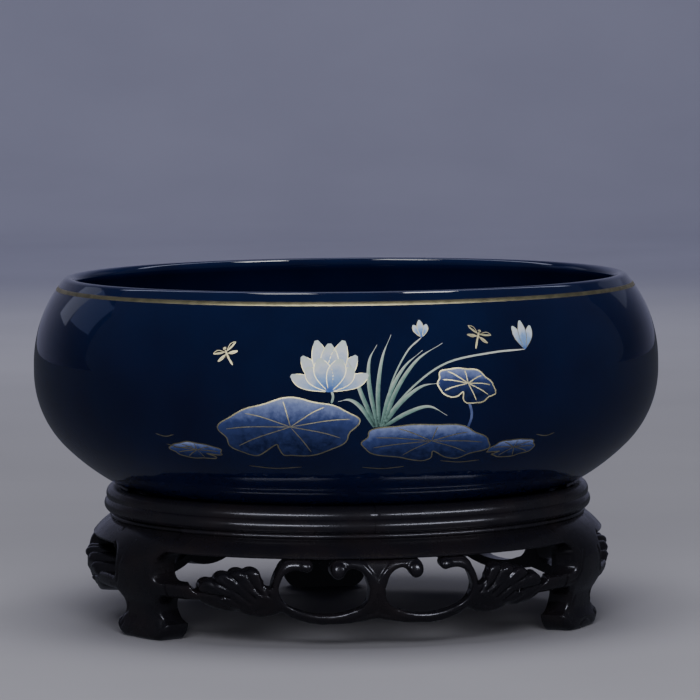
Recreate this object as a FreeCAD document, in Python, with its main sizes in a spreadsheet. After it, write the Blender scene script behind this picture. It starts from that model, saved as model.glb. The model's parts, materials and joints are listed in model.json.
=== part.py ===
import FreeCAD, Part
import os
import re

import Sketcher
from FreeCAD import Placement, Rotation, Vector

# A glazed bowl on a round three-legged carved wooden stand. The origin is on the floor, on
# the bowl's axis. +Z is up, and the middle of the front apron faces -Y.
#
# Driving dimensions: name, size (mm, or degrees where the note says so), note. Heights are
# above the floor unless the note says otherwise.
SIZES = (
    # The bowl
    ("bowl_radius", 200, "widest radius of the bowl"),
    ("wall", 9, "thickness of the bowl's wall"),
    ("belly_height", 87.5, "seat up to the centre of the lower belly"),
    ("belly_band", 5, "straight band between the lower belly and the shoulder"),
    ("belly_round", 66.5, "radius of the lower belly"),
    ("under_turn", 45, "degrees below level where the belly meets that curve"),
    ("shoulder_round", 84, "radius of the turned-in shoulder"),
    ("lip_turn", 39.8, "degrees above level where the shoulder ends in the lip"),
    ("bowl_foot_inset", 92, "widest radius in to the outside of the foot ring"),
    ("bowl_foot_width", 11, "width of the foot ring"),
    ("bowl_foot_height", 2, "height of the foot ring, up to the curve under the belly"),
    ("bowl_foot_hollow", 2.5, "depth of the hollow inside the foot ring"),
    ("bowl_floor", 9, "thickness of the bowl's floor"),
    # The stand's round frame and its beaded rim
    ("rail_height", 70.5, "top of the legs and friezes, underside of the rim"),
    ("rim_inset", 44.6, "bowl's widest radius in to the rim's"),
    ("rim_gap", 1.2, "rim's crest down from the bowl's underside"),
    ("rim_crest_inset", 7.9, "rim's widest radius in to its crest"),
    ("reed_height", 9.1, "height of the rim's lower reed"),
    ("reed_foot_inset", 4.5, "rim's widest radius in to the lower reed's foot"),
    ("reed_inset", 1.5, "rim's widest radius in to the groove between the reeds"),
    ("reed_round", 5.2, "radius of the lower reed"),
    ("crest_swell", 3.08, "how far the upper reed swells out from the chord of its arc"),
    ("rim_slope", 6, "width and drop of the rim's inner slope"),
    ("frame_depth", 12.5, "depth of the frame below the rail height"),
    ("frame_rebate", 13.4, "rim's widest radius in to the frame's outer face"),
    ("frame_width", 20, "frame's outer face in to its inner face"),
    # The panel that the bowl stands on
    ("panel_rise", 2, "rail height up to the panel's top, where the bowl sits"),
    ("panel_depth", 12.5, "thickness of the panel"),
    ("tongue_drop", 4.5, "panel's top down to its tongue"),
    ("tongue_depth", 4, "thickness of the tongue and width of its groove"),
    ("tongue_reach", 6, "depth of the groove"),
    ("panel_gap", 0.3, "room left for the panel to move in the frame"),
    ("batten_width", 20, "width of the batten under the panel"),
    ("batten_depth", 7, "depth of the batten below the panel"),
    ("batten_end_gap", 5, "panel's edge in to the batten's ends"),
    ("key_depth", 3, "height of the batten's dovetail"),
    ("key_width", 12, "width of the dovetail at the panel's underside"),
    ("key_flare", 2, "how much wider each side of the dovetail is at its top"),
    # The outer face that legs, friezes and carvings share
    ("knee_reach", 12.9, "rim's widest radius out to the knee's"),
    ("knee_drop", 26.5, "rail height down to the knee, the widest point of the legs"),
    ("knee_round", 19.2, "radius of the knee above its widest point"),
    ("knee_turn", 32.5, "degrees above level where the knee meets the slope"),
    ("slope_inset", 3.44, "rim's widest radius in to the top of the slope above the knee"),
    ("shin_round", 37.7, "radius of the leg below the knee"),
    ("shin_turn", 32.8, "degrees below level where the shin meets the ankle"),
    ("ankle_round", 20, "radius of the hollow ankle"),
    ("fillet_height", 3.1, "height of the thin bead on top of the slope"),
    ("fillet_round", 1.7, "radius of that bead"),
    ("fillet_inset", 4.2, "rim's widest radius in to the back of that bead"),
    ("glue_gap", 0.1, "glue line between a curved face and the frame"),
    # Legs
    ("shoulder_half", 29.5, "half the width of a leg between the friezes"),
    ("leg_half", 20.5, "half the width of a leg at the knee"),
    ("bracket_round", 9, "radius under each shoulder of a leg"),
    ("leg_back", 18.5, "knee's widest radius in to the back of the leg"),
    ("calf_hollow", 3.5, "how far the back of the leg swings in at the ankle"),
    ("ankle_half", 19, "half the width of the ankle"),
    ("ankle_height", 18, "height of the ankle's narrowest point"),
    ("toe_half", 27.5, "half the width of the foot across its toes"),
    ("toe_height", 10.5, "height of the toes"),
    ("toe_round", 11.5, "radius under each toe"),
    ("sole_half", 19, "half the width of the sole"),
    ("foot_height", 7, "height of the upright front of the foot"),
    ("foot_flare", 4.7, "knee's widest radius in to the front of the foot"),
    ("sole_round", 3, "radius of the foot's front lower edge"),
    ("spur_half", 31, "half the width of a leg across its spurs"),
    ("spur_drop", 19, "friezes' bottom edge down to the top of the spurs"),
    ("spur_depth", 9, "height of the spurs"),
    ("spur_round", 6, "radius between a spur and the leg"),
    ("tenon_height", 7, "height of the tenon on a leg"),
    ("tenon_depth", 6, "radial thickness of the tenon"),
    ("tenon_half", 12, "half the width of the tenon"),
    ("tenon_inset", 8.6, "rim's widest radius in to the middle of the tenon"),
    # Friezes
    ("frieze_depth", 14.5, "height of the friezes, from the rail height down"),
    ("frieze_back", 6.9, "width of the bevel at the back of a frieze's bottom edge"),
    ("frieze_bevel", 4, "height of that bevel"),
    ("frieze_round", 1.6, "radius of the front of the bottom edge"),
    # Openwork carvings. Drops are from the friezes' bottom edge down.
    ("carving_recess", 1.5, "depth of a carving's face behind the leg's"),
    ("carving_back", 17.5, "knee's widest radius in to the back of a carving"),
    ("web_half", 4.8, "half the width of the web between the two rings"),
    ("web_drop", 37, "drop to the lower edge of the carving at its middle"),
    ("web_flare", 0.8, "how much wider the web is below the rings' middle"),
    ("loop_middle", 33, "middle of the carving out to the middle of a ring"),
    ("loop_half", 26.5, "half the width of a ring's opening"),
    ("loop_drop", 34.5, "drop to the bottom of a ring's opening"),
    ("loop_wide_drop", 18, "drop to where a ring's opening is widest"),
    ("loop_bend", 8, "widest height of an opening up and down to where it turns in"),
    ("loop_lean", 2.8, "how far the opening has drawn in there"),
    ("loop_floor_out", 15, "middle of a ring out to the end of its opening's flat bottom"),
    ("loop_floor_in", 19, "middle of a ring in to the other end of that bottom"),
    ("loop_floor_rise", 3, "rise of that bottom at its two ends"),
    ("loop_floor_round", 45, "radius of that bottom"),
    ("loop_web_round", 10, "radius of the opening's lower corner beside the web"),
    ("loop_low_round", 17, "radius of its other lower corner"),
    ("loop_side_round", 15, "radius of the opening's outer side"),
    ("loop_high_round", 22, "radius of that side above the widest height"),
    ("loop_top_round", 11, "radius of the opening's upper outer corner"),
    ("loop_band", 6, "width of the ring's band below its opening"),
    ("ring_low_round", 150, "radius of the lower edge from the web to a ring"),
    ("ring_foot_round", 50, "radius of the lower edge from a ring to the spray"),
    ("loop_side", 4.2, "width of the ring's band beside its opening"),
    ("arch_middle", 15.4, "middle of the carving out to the crest of the arch"),
    ("arch_drop", 5.2, "drop to the crest of the arch between web and bulb"),
    ("arch_round", 10, "radius of the arch on the web's side"),
    ("bulb_neck_round", 7, "radius of the arch on the bulb's side"),
    ("bulb_middle", 23.6, "middle of the carving out to the middle of the bulb"),
    ("bulb_round", 5, "radius of the bulb of the inner scroll"),
    ("bulb_drop", 6.8, "drop to the middle of the bulb"),
    ("bulb_top_round", 7.5, "radius of the scroll from the bulb up to the frieze"),
    ("scroll_back_round", 30, "radius of the back of the outer scroll"),
    ("scroll_top_round", 9, "radius of the outer scroll's upper outer corner"),
    ("scroll_under_round", 20, "radius of the underside of the outer scroll"),
    ("tip_middle", 42.8, "middle of the carving out to the tip of the outer scroll"),
    ("tip_round", 3.9, "radius of that tip"),
    ("tip_drop", 3.6, "drop to the middle of that tip"),
    ("spray_drop", 33, "drop to the lower edge of the leaf spray beside a ring"),
    ("spray_bend", 24, "ring's opening out to where the spray's lower edge bends up"),
    ("spray_rise", 46, "ring's opening out to where that edge reaches the spurs"),
    ("spray_round", 26, "radius of the spray's lower edge"),
    ("leaf_valley_round", 10, "radius of the hollow between the leaves and a ring"),
    ("leaf_hollow_round", 5, "radius of the hollow between the last leaf and the spurs' top"),
    ("leaf_foot_round", 4, "radius of the hollow where a ring meets the leaves"),
    ("leaf_first", 11, "ring's opening out to the first point between two leaves"),
    ("leaf_step", 9, "from each such point to the next"),
    ("leaf_high", 11, "top of the spurs up to the leaves' highest point"),
    ("leaf_fall", 1.25, "how fast the leaves fall away towards the leg"),
    ("leaf_round", 6.3, "radius of each leaf's tip"),
    # Joinery
    ("fit", 0.05, "clearance of a round pin in its hole"),
    ("spline_depth", 4, "thickness of the splines in the frame's joints"),
    ("spline_width", 10, "radial width of the splines"),
    ("spline_half", 10, "how far a spline reaches into each segment"),
    ("spline_inset", 7, "frame's outer face in to the middle of the splines"),
    ("spline_rise", 2.5, "frame's underside up to the splines"),
    ("dowel_radius", 3, "radius of the dowels between legs and friezes"),
    ("dowel_half", 11, "half the length of those dowels"),
    ("dowel_drop", 7.5, "rail height down to those dowels"),
    ("dowel_inset", 8, "rim's widest radius in to those dowels"),
    ("peg_radius", 2, "radius of the pegs between spurs and carvings"),
    ("peg_half", 6, "half the length of those pegs"),
    ("peg_inset", 11, "knee's widest radius in to those pegs"),
    ("pin_radius", 1.7, "radius of the pins between carvings and friezes"),
    ("pin_half", 5.5, "half the length of those pins"),
    ("pin_inset", 14.5, "knee's widest radius in to those pins"),
)

# Where the three-fold parts stand: degrees round from the front, positive to the right.
# The frame's segments are centred on the legs, and their joints on the aprons.
LEGS = (("left", -60), ("right", 60), ("back", 180))
APRONS = (("front", 0), ("right_rear", 120), ("left_rear", -120))
LEG_STEP = 60
SEGMENT_TURN = 120
APRON_TURN = 116
LEG_TURN = 40

# A leaf spray has this many points between leaves, and is highest a little past the first.
LEAVES = 5
HIGHEST_LEAF = 0.6

# Places that several pieces share, as formulas of the sizes and of each other.
PLACES = {
    # Heights above the floor
    "SEAT": "rail_height + panel_rise",
    "PANEL_LOW": "SEAT - panel_depth",
    "TONGUE_HIGH": "SEAT - tongue_drop",
    "TONGUE_LOW": "TONGUE_HIGH - tongue_depth",
    "FRAME_LOW": "rail_height - frame_depth",
    "GROOVE": "rail_height - fillet_height",
    "FRIEZE_LOW": "rail_height - frieze_depth",
    "KNEE_HIGH": "rail_height - knee_drop",
    "SPUR_HIGH": "FRIEZE_LOW - spur_drop",
    "SPUR_LOW": "SPUR_HIGH - spur_depth",
    "LOOP_LOW": "FRIEZE_LOW - loop_drop",
    "LOOP_WIDE": "FRIEZE_LOW - loop_wide_drop",
    "ARCH_HIGH": "FRIEZE_LOW - arch_drop",
    "BULB_HIGH": "FRIEZE_LOW - bulb_drop",
    "TIP_HIGH": "FRIEZE_LOW - tip_drop",
    "SPRAY_LOW": "FRIEZE_LOW - spray_drop",
    "HOLLOW_TOP": "SEAT + bowl_foot_hollow",
    "FLOOR_TOP": "HOLLOW_TOP + bowl_floor",
    # Radii from the bowl's axis
    "BOWL_FOOT": "bowl_radius - bowl_foot_inset",
    "RIM": "bowl_radius - rim_inset",
    "KNEE": "RIM + knee_reach",
    "FRAME_OUT": "RIM - frame_rebate",
    "FRAME_IN": "FRAME_OUT - frame_width",
    "PANEL_EDGE": "FRAME_IN - panel_gap",
    "RIM_CREST": "RIM - rim_crest_inset",
    "LEG_BACK": "KNEE - leg_back",
    "FOOT": "KNEE - foot_flare",
    "CARVING_BACK": "KNEE - carving_back",
    # The bowl's outside: the centres of the belly and the shoulder, and the curve under the
    # belly: an arc tangent to the belly's, down to the foot ring
    "BELLY_IN": "bowl_radius - belly_round",
    "BELLY_UP": "SEAT + belly_height",
    "SHOULDER_IN": "bowl_radius - shoulder_round",
    "SHOULDER_UP": "BELLY_UP + belly_band",
    "FOOT_TOP": "SEAT + bowl_foot_height",
    "UNDER_WIDE": "BELLY_IN + belly_round * cos(under_turn) - BOWL_FOOT",
    "UNDER_TALL": "BELLY_UP - belly_round * sin(under_turn) - FOOT_TOP",
    "UNDER_ROUND": "(UNDER_WIDE^2 + UNDER_TALL^2) / 2"
    " / (UNDER_WIDE * cos(under_turn) - UNDER_TALL * sin(under_turn))",
    "UNDER_IN": "BELLY_IN + (belly_round - UNDER_ROUND) * cos(under_turn)",
    "UNDER_UP": "BELLY_UP - (belly_round - UNDER_ROUND) * sin(under_turn)",
    # The rim's crest, just under the bowl, and the arc of the upper reed that leads to it
    "CREST_HIGH": "UNDER_UP - sqrt(UNDER_ROUND^2 - (RIM_CREST - UNDER_IN)^2) - rim_gap",
    "CREST_TALL": "CREST_HIGH - rail_height - reed_height",
    "CREST_ROUND": "((rim_crest_inset - reed_inset)^2 + CREST_TALL^2) / (8 * crest_swell) + crest_swell / 2",
    # The slope above the knee: an arc tangent to the knee's, up to the groove
    "SLOPE_LEAN": "KNEE - knee_round * (1 - cos(knee_turn)) - RIM + slope_inset",
    "SLOPE_TALL": "GROOVE - KNEE_HIGH - knee_round * sin(knee_turn)",
    "SLOPE_ROUND": "(SLOPE_LEAN^2 + SLOPE_TALL^2) / 2"
    " / (SLOPE_LEAN * cos(knee_turn) - SLOPE_TALL * sin(knee_turn))",
    "SLOPE_IN": "KNEE - knee_round + (knee_round - SLOPE_ROUND) * cos(knee_turn)",
    "SLOPE_UP": "KNEE_HIGH + (knee_round - SLOPE_ROUND) * sin(knee_turn)",
    # Distances from the middle of a carving
    "LOOP_OUT": "loop_middle + loop_half",
    "RING_SIDE": "LOOP_OUT + loop_side",
    # Past everything, for what is sawn away outside an outline
    "FAR": "2 * bowl_radius",
}

doc = FreeCAD.newDocument("jardiniere")
sheet = doc.addObject("Spreadsheet::Sheet", "sizes")
for row, (alias, size, note) in enumerate(SIZES, 1):
    sheet.set(f"A{row}", note)
    sheet.set(f"B{row}", str(size))
    sheet.setAlias(f"B{row}", alias)
doc.recompute()
ALIASES = {alias for alias, size, note in SIZES}
nodes = []


def formula(text):
    """The same formula with each place spelled out, and each size looked up in the sheet."""

    def spelled(word):
        if word[0] in PLACES:
            return f"({formula(PLACES[word[0]])})"
        return "sizes." + word[0] if word[0] in ALIASES else word[0]

    return re.sub(r"[A-Za-z_]+", spelled, text)


def number(text):
    return float(sheet.evalExpression(formula(text)))


def bind(item, **formulas):
    """Ties an object's properties to formulas of the sheet's sizes."""
    for name, text in formulas.items():
        item.setExpression(name, formula(text))
    return item


def put(item, x="0", y="0", z="0"):
    """Ties an object's place to formulas of the sheet's sizes."""
    for axis, text in (("x", x), ("y", y), ("z", z)):
        item.setExpression("Placement.Base." + axis, formula(text))
    return item


def turned_to(item, azimuth):
    """Turns a piece modelled along +X to its azimuth, counted from the front."""
    item.Placement = Placement(Vector(), Rotation(Vector(0, 0, 1), azimuth - 90))
    return item


def node(item, label):
    item.Label = label
    nodes.append(item)
    return item


# ---- Sketches -------------------------------------------------------------------------


def edge(start, end, radius):
    """A sketch edge, with its ends' numbers. A positive radius turns counterclockwise."""
    if not radius:
        return Part.LineSegment(start, end), 1, 2
    chord = end - start
    rise = max(radius * radius - chord.Length**2 / 4, 0) ** 0.5
    left = Vector(-chord.y, chord.x, 0).normalize()
    centre = (start + end) / 2 + left * (rise if radius > 0 else -rise)
    circle = Part.Circle(centre, Vector(0, 0, 1), abs(radius))
    if radius > 0:
        return Part.ArcOfCircle(circle, circle.parameter(start), circle.parameter(end)), 1, 2
    return Part.ArcOfCircle(circle, circle.parameter(end), circle.parameter(start)), 2, 1


def sketch_loop(sketch, corners):
    """Adds a closed loop. A corner is (x, y) or (x, y, radius of the edge that leads to it)."""
    points = [Vector(number(corner[0]), number(corner[1]), 0) for corner in corners]
    shapes = []
    ends = []
    rules = []
    for index, corner in enumerate(corners):
        radius = number(corner[2]) if len(corner) > 2 else 0
        shape, start_end, far_end = edge(points[index - 1], points[index], radius)
        shapes.append(shape)
        ends.append((start_end, far_end))
        if radius:
            rules.append((Sketcher.Constraint("Radius", index, abs(radius)), f"abs({corner[2]})"))
    for index, corner in enumerate(corners):
        after = (index + 1) % len(corners)
        far_end = ends[index][1]
        rules.append((Sketcher.Constraint("Coincident", index, far_end, after, ends[after][0]), None))
        for kind, text, place, axis in (
            ("DistanceX", corner[0], points[index].x, -2),
            ("DistanceY", corner[1], points[index].y, -1),
        ):
            if text == "0":
                rules.append((Sketcher.Constraint("PointOnObject", index, far_end, axis), None))
            else:
                rules.append((Sketcher.Constraint(kind, -1, 1, index, far_end, place), text))
    sketch.addGeometry(shapes)
    sketch.addConstraint([rule for rule, text in rules])
    for index, (rule, text) in enumerate(rules):
        if text:
            sketch.setExpression(f"Constraints[{index}]", formula(text))


def origin_plane(body, role):
    return next(part for part in body.Origin.OriginFeatures if part.Role == role)


def add_sketch(body, plane, name, corners):
    sketch = body.newObject("Sketcher::SketchObject", name)
    sketch.AttachmentSupport = [(origin_plane(body, plane), "")]
    sketch.MapMode = "FlatFace"
    sketch_loop(sketch, corners)
    return sketch


# ---- Solids ---------------------------------------------------------------------------


def revolve(name, section, turn=360):
    """A body turned about the Z axis from a section in radius and height."""
    body = doc.addObject("PartDesign::Body", name)
    feature = body.newObject("PartDesign::Revolution", name + "_turned")
    feature.Profile = add_sketch(body, "XZ_Plane", name + "_section", section)
    feature.ReferenceAxis = (feature.Profile[0], ["V_Axis"])
    feature.Angle = turn
    feature.Midplane = turn < 360
    return body


def fret(body, name, half):
    """Saws away what lies outside an outline seen along the X axis, given by its right half."""
    around = [("0", "FAR"), ("FAR", "FAR"), ("FAR", "-FAR"), ("0", "-FAR")]
    cut = body.newObject("PartDesign::Pocket", name)
    cut.Profile = add_sketch(body, "YZ_Plane", name + "_outline", half + around)
    cut.Reversed = True
    bind(cut, Length="FAR")
    other_half = body.newObject("PartDesign::Mirrored", name + "_mirrored")
    other_half.Originals = [cut]
    other_half.MirrorPlane = (origin_plane(body, "XZ_Plane"), [""])
    body.Tip = other_half


def block(name, length, width, height, x, y, z):
    """A box from its sizes and the place of its lowest corner."""
    return put(bind(doc.addObject("Part::Box", name), Length=length, Width=width, Height=height), x, y, z)


def rod(name, radius, length, x, y, z, across=False):
    """A round pin, upright or across the X axis, from the place of its first end."""
    item = doc.addObject("Part::Cylinder", name)
    if across:
        item.Placement = Placement(Vector(), Rotation(Vector(1, 0, 0), -90))
    return put(bind(item, Radius=radius, Height=length), x, y, z)


def group(name, items, turn=0):
    """Several solids as one, turned about the Z axis."""
    item = doc.addObject("Part::Compound", name)
    item.Links = items
    item.Placement = Placement(Vector(), Rotation(Vector(0, 0, 1), turn))
    return item


def cut_from(base, label, tools):
    """A base solid less each of the tools."""
    item = doc.addObject("Part::Cut", label)
    item.Base = base
    item.Tool = group(label + "_cutters", tools)
    return item


# ---- Curves that several pieces share --------------------------------------------------


def round_belly(inset):
    """Where the belly meets the curve below it, at a depth inside the wall."""
    return (
        f"BELLY_IN + (belly_round - {inset}) * cos(under_turn)",
        f"BELLY_UP - (belly_round - {inset}) * sin(under_turn)",
    )


def round_shoulder(inset, ahead="0"):
    """Where the shoulder ends, at a depth inside the wall and a distance further on."""
    return (
        f"SHOULDER_IN + (shoulder_round - {inset}) * cos(lip_turn) - {ahead} * sin(lip_turn)",
        f"SHOULDER_UP + (shoulder_round - {inset}) * sin(lip_turn) + {ahead} * cos(lip_turn)",
    )


def on_slope(height, inset="0"):
    """Radius of the slope above the knee at a height, less a recess."""
    return f"SLOPE_IN + sqrt((SLOPE_ROUND - {inset})^2 - ({height} - SLOPE_UP)^2)"


def knee_top(inset="0"):
    """Where the knee meets the slope, less a recess."""
    return (
        f"KNEE - knee_round + (knee_round - {inset}) * cos(knee_turn)",
        f"KNEE_HIGH + (knee_round - {inset}) * sin(knee_turn)",
        f"knee_round - {inset}",
    )


def shin_end(inset="0"):
    """Where the shin meets the ankle, less a recess."""
    return (
        f"KNEE - shin_round + (shin_round - {inset}) * cos(shin_turn)",
        f"KNEE_HIGH - (shin_round - {inset}) * sin(shin_turn)",
    )


def slope_top():
    """The thin bead and the groove on top of the slope, from the slope's end up."""
    return [
        ("RIM - slope_inset", "GROOVE", "SLOPE_ROUND"),
        ("RIM - fillet_inset", "GROOVE"),
        ("RIM - fillet_inset", "rail_height", "fillet_round"),
        ("FRAME_OUT + glue_gap", "rail_height"),
    ]


# ---- Joinery, in the frame of one leg, which stands on the +X side ---------------------

PAIR = (("a", "-"), ("b", ""))


def leg_dowels(name, clearance):
    """The two dowels that join a leg to its friezes."""
    return [
        rod(
            f"{name}_{side}",
            f"dowel_radius + {clearance}",
            f"2 * (dowel_half + {clearance})",
            "RIM - dowel_inset",
            f"{sign} shoulder_half - dowel_half - {clearance}",
            "rail_height - dowel_drop",
            across=True,
        )
        for side, sign in PAIR
    ]


def spur_pegs(name, clearance):
    """The two pegs that join a leg's spurs to the carvings."""
    return [
        rod(
            f"{name}_{side}",
            f"peg_radius + {clearance}",
            f"2 * (peg_half + {clearance})",
            "KNEE - peg_inset",
            f"{sign} spur_half - peg_half - {clearance}",
            "(SPUR_LOW + SPUR_HIGH) / 2",
            across=True,
        )
        for side, sign in PAIR
    ]


def scroll_pins(name, clearance):
    """The two upright pins that hold the inner scrolls of a carving to its frieze."""
    return [
        rod(
            f"{name}_{side}",
            f"pin_radius + {clearance}",
            f"2 * (pin_half + {clearance})",
            "KNEE - pin_inset",
            f"{sign} bulb_middle",
            f"FRIEZE_LOW - pin_half - {clearance}",
        )
        for side, sign in PAIR
    ]


def tenon_block(name):
    """The tenon of a leg, and the mortise that it fills."""
    return block(
        name,
        "tenon_depth",
        "2 * tenon_half",
        "tenon_height",
        "RIM - tenon_inset - tenon_depth / 2",
        "-tenon_half",
        "rail_height",
    )


def spline_block(name):
    """The spline of a frame joint, which lies on the +X side."""
    return block(
        name,
        "spline_width",
        "2 * spline_half",
        "spline_depth",
        "FRAME_OUT - spline_inset - spline_width / 2",
        "-spline_half",
        "FRAME_LOW + spline_rise",
    )


def between_legs(name, half_width):
    """The space of the two legs beside an apron that faces +X."""
    spaces = []
    for end, turn in enumerate((-LEG_STEP, LEG_STEP)):
        space = block(f"{name}_{end}_space", "FAR", f"2 * {half_width}", "FAR", "0", f"-{half_width}", "0")
        spaces.append(group(f"{name}_{end}", [space], turn))
    return spaces


def at_both_legs(name, make):
    """The holes of one leg's joinery at the two legs beside an apron that faces +X."""
    return [
        group(f"{name}_{end}", make(f"{name}_{end}_rod", "fit"), turn)
        for end, turn in enumerate((-LEG_STEP, LEG_STEP))
    ]


# ---- Sub-parts ------------------------------------------------------------------------


def make_bowl():
    """The bowl: a foot ring, a round belly and a turned-in shoulder with a rounded lip."""
    belly_in = round_belly("wall")
    floor_round = f"(({belly_in[1]} - FLOOR_TOP) / (1 - sin(under_turn)))"
    section = [
        ("0", "HOLLOW_TOP"),
        ("BOWL_FOOT - bowl_foot_width", "HOLLOW_TOP"),
        ("BOWL_FOOT - bowl_foot_width", "SEAT"),
        ("BOWL_FOOT", "SEAT"),
        ("BOWL_FOOT", "FOOT_TOP"),
        round_belly("0") + ("UNDER_ROUND",),
        ("bowl_radius", "BELLY_UP", "belly_round"),
        ("bowl_radius", "SHOULDER_UP"),
        round_shoulder("0") + ("shoulder_round",),
        round_shoulder("wall / 2", "wall / 2") + ("wall / 2",),
        round_shoulder("wall") + ("wall / 2",),
        ("bowl_radius - wall", "SHOULDER_UP", "-(shoulder_round - wall)"),
        ("bowl_radius - wall", "BELLY_UP"),
        belly_in + ("-(belly_round - wall)",),
        (f"{belly_in[0]} - {floor_round} * cos(under_turn)", "FLOOR_TOP", f"-{floor_round}"),
        ("0", "FLOOR_TOP"),
    ]
    node(revolve("bowl_turned", section), "bowl")


def make_frame():
    """Three segments with the beaded rim, splined to each other and mortised for the legs."""
    section = [
        ("FRAME_IN", "FRAME_LOW"),
        ("FRAME_OUT", "FRAME_LOW"),
        ("FRAME_OUT", "rail_height"),
        ("RIM - reed_foot_inset", "rail_height"),
        ("RIM - reed_inset", "rail_height + reed_height", "reed_round"),
        ("RIM_CREST", "CREST_HIGH", "CREST_ROUND"),
        ("RIM_CREST - rim_slope", "CREST_HIGH - rim_slope"),
        ("RIM_CREST - rim_slope", "SEAT"),
        ("FRAME_IN", "SEAT"),
        ("FRAME_IN", "TONGUE_HIGH"),
        ("FRAME_IN + tongue_reach", "TONGUE_HIGH"),
        ("FRAME_IN + tongue_reach", "TONGUE_LOW"),
        ("FRAME_IN", "TONGUE_LOW"),
    ]
    for side, azimuth in LEGS:
        name = "ring_segment_" + side
        blank = revolve(name + "_blank", section, SEGMENT_TURN)
        tools = [tenon_block(name + "_mortise")]
        for end, turn in enumerate((-LEG_STEP, LEG_STEP)):
            slot = f"{name}_slot_{end}"
            tools.append(group(slot, [spline_block(slot + "_space")], turn))
        node(turned_to(cut_from(blank, name, tools), azimuth), name)
    for side, azimuth in APRONS:
        name = "ring_spline_" + side
        node(turned_to(group(name, [spline_block(name + "_block")]), azimuth), name)


def make_panel():
    """The round panel in the frame's groove, and the batten that keeps it flat."""
    section = [
        ("0", "PANEL_LOW"),
        ("PANEL_EDGE", "PANEL_LOW"),
        ("PANEL_EDGE", "TONGUE_LOW"),
        ("PANEL_EDGE + tongue_reach", "TONGUE_LOW"),
        ("PANEL_EDGE + tongue_reach", "TONGUE_HIGH"),
        ("PANEL_EDGE", "TONGUE_HIGH"),
        ("PANEL_EDGE", "SEAT"),
        ("0", "SEAT"),
    ]
    key = [
        ("key_width / 2", "PANEL_LOW"),
        ("key_width / 2 + key_flare", "PANEL_LOW + key_depth"),
        ("-(key_width / 2 + key_flare)", "PANEL_LOW + key_depth"),
        ("-key_width / 2", "PANEL_LOW"),
    ]
    bar = [
        ("-batten_width / 2", "PANEL_LOW"),
        ("-batten_width / 2", "PANEL_LOW - batten_depth"),
        ("batten_width / 2", "PANEL_LOW - batten_depth"),
        ("batten_width / 2", "PANEL_LOW"),
    ]

    def planed(name, outline):
        body = doc.addObject("PartDesign::Body", name)
        feature = body.newObject("PartDesign::Pad", name + "_length")
        feature.Profile = add_sketch(body, "YZ_Plane", name + "_section", outline)
        feature.Midplane = True
        bind(feature, Length="2 * (PANEL_EDGE - batten_end_gap)")
        return body

    board = revolve("panel_turned", section)
    node(cut_from(board, "stand_panel", [planed("panel_slot", key)]), "stand_panel")
    node(planed("batten", bar + key), "panel_batten")


def make_legs():
    """Three legs: knee, hollow ankle and spread foot, with a spur towards each carving."""
    section = [
        ("LEG_BACK - calf_hollow", "0"),
        ("FOOT - sole_round", "0"),
        ("FOOT", "sole_round", "sole_round"),
        ("FOOT", "foot_height"),
        shin_end() + ("-ankle_round",),
        ("KNEE", "KNEE_HIGH", "shin_round"),
        knee_top(),
        *slope_top(),
        ("FRAME_OUT + glue_gap", "FRAME_LOW"),
        ("LEG_BACK", "FRAME_LOW - frieze_bevel"),
        ("LEG_BACK", "SPUR_LOW"),
        ("LEG_BACK - calf_hollow", "ankle_height"),
    ]
    half = [
        ("0", "0"),
        ("sole_half", "0"),
        ("toe_half", "toe_height", "toe_round"),
        ("ankle_half", "ankle_height", "-toe_round"),
        ("spur_half - spur_round", "SPUR_LOW", "-toe_round"),
        ("spur_half", "SPUR_LOW"),
        ("spur_half", "SPUR_HIGH"),
        ("leg_half + spur_round", "SPUR_HIGH"),
        ("leg_half", "SPUR_HIGH + spur_round", "-spur_round"),
        ("leg_half", "FRIEZE_LOW - bracket_round"),
        ("shoulder_half", "FRIEZE_LOW", "-bracket_round"),
        ("shoulder_half", "rail_height"),
        ("0", "rail_height"),
    ]
    for side, azimuth in LEGS:
        name = "leg_" + side
        blank = revolve(name + "_blank", section, LEG_TURN)
        fret(blank, name + "_sawn", half)
        tenoned = doc.addObject("Part::Fuse", name + "_tenoned")
        tenoned.Base = blank
        tenoned.Tool = tenon_block(name + "_tenon")
        holes = leg_dowels(name + "_dowel_hole", "fit") + spur_pegs(name + "_peg_hole", "fit")
        node(turned_to(cut_from(tenoned, name, holes), azimuth), name)


def make_friezes():
    """Three curved friezes between the legs, under the rim."""
    front = on_slope("(FRIEZE_LOW + frieze_round)")
    section = [
        ("FRAME_OUT + glue_gap", "FRIEZE_LOW + frieze_bevel"),
        ("FRAME_OUT + frieze_back", "FRIEZE_LOW"),
        (f"{front} - frieze_round", "FRIEZE_LOW"),
        (front, "FRIEZE_LOW + frieze_round", "frieze_round"),
        *slope_top(),
    ]
    for side, azimuth in APRONS:
        name = "frieze_" + side
        blank = revolve(name + "_blank", section, APRON_TURN)
        tools = between_legs(name + "_end", "shoulder_half") + scroll_pins(name + "_pin_hole", "fit")
        tools += at_both_legs(name + "_dowel_hole", leg_dowels)
        node(turned_to(cut_from(blank, name, tools), azimuth), name)


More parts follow.
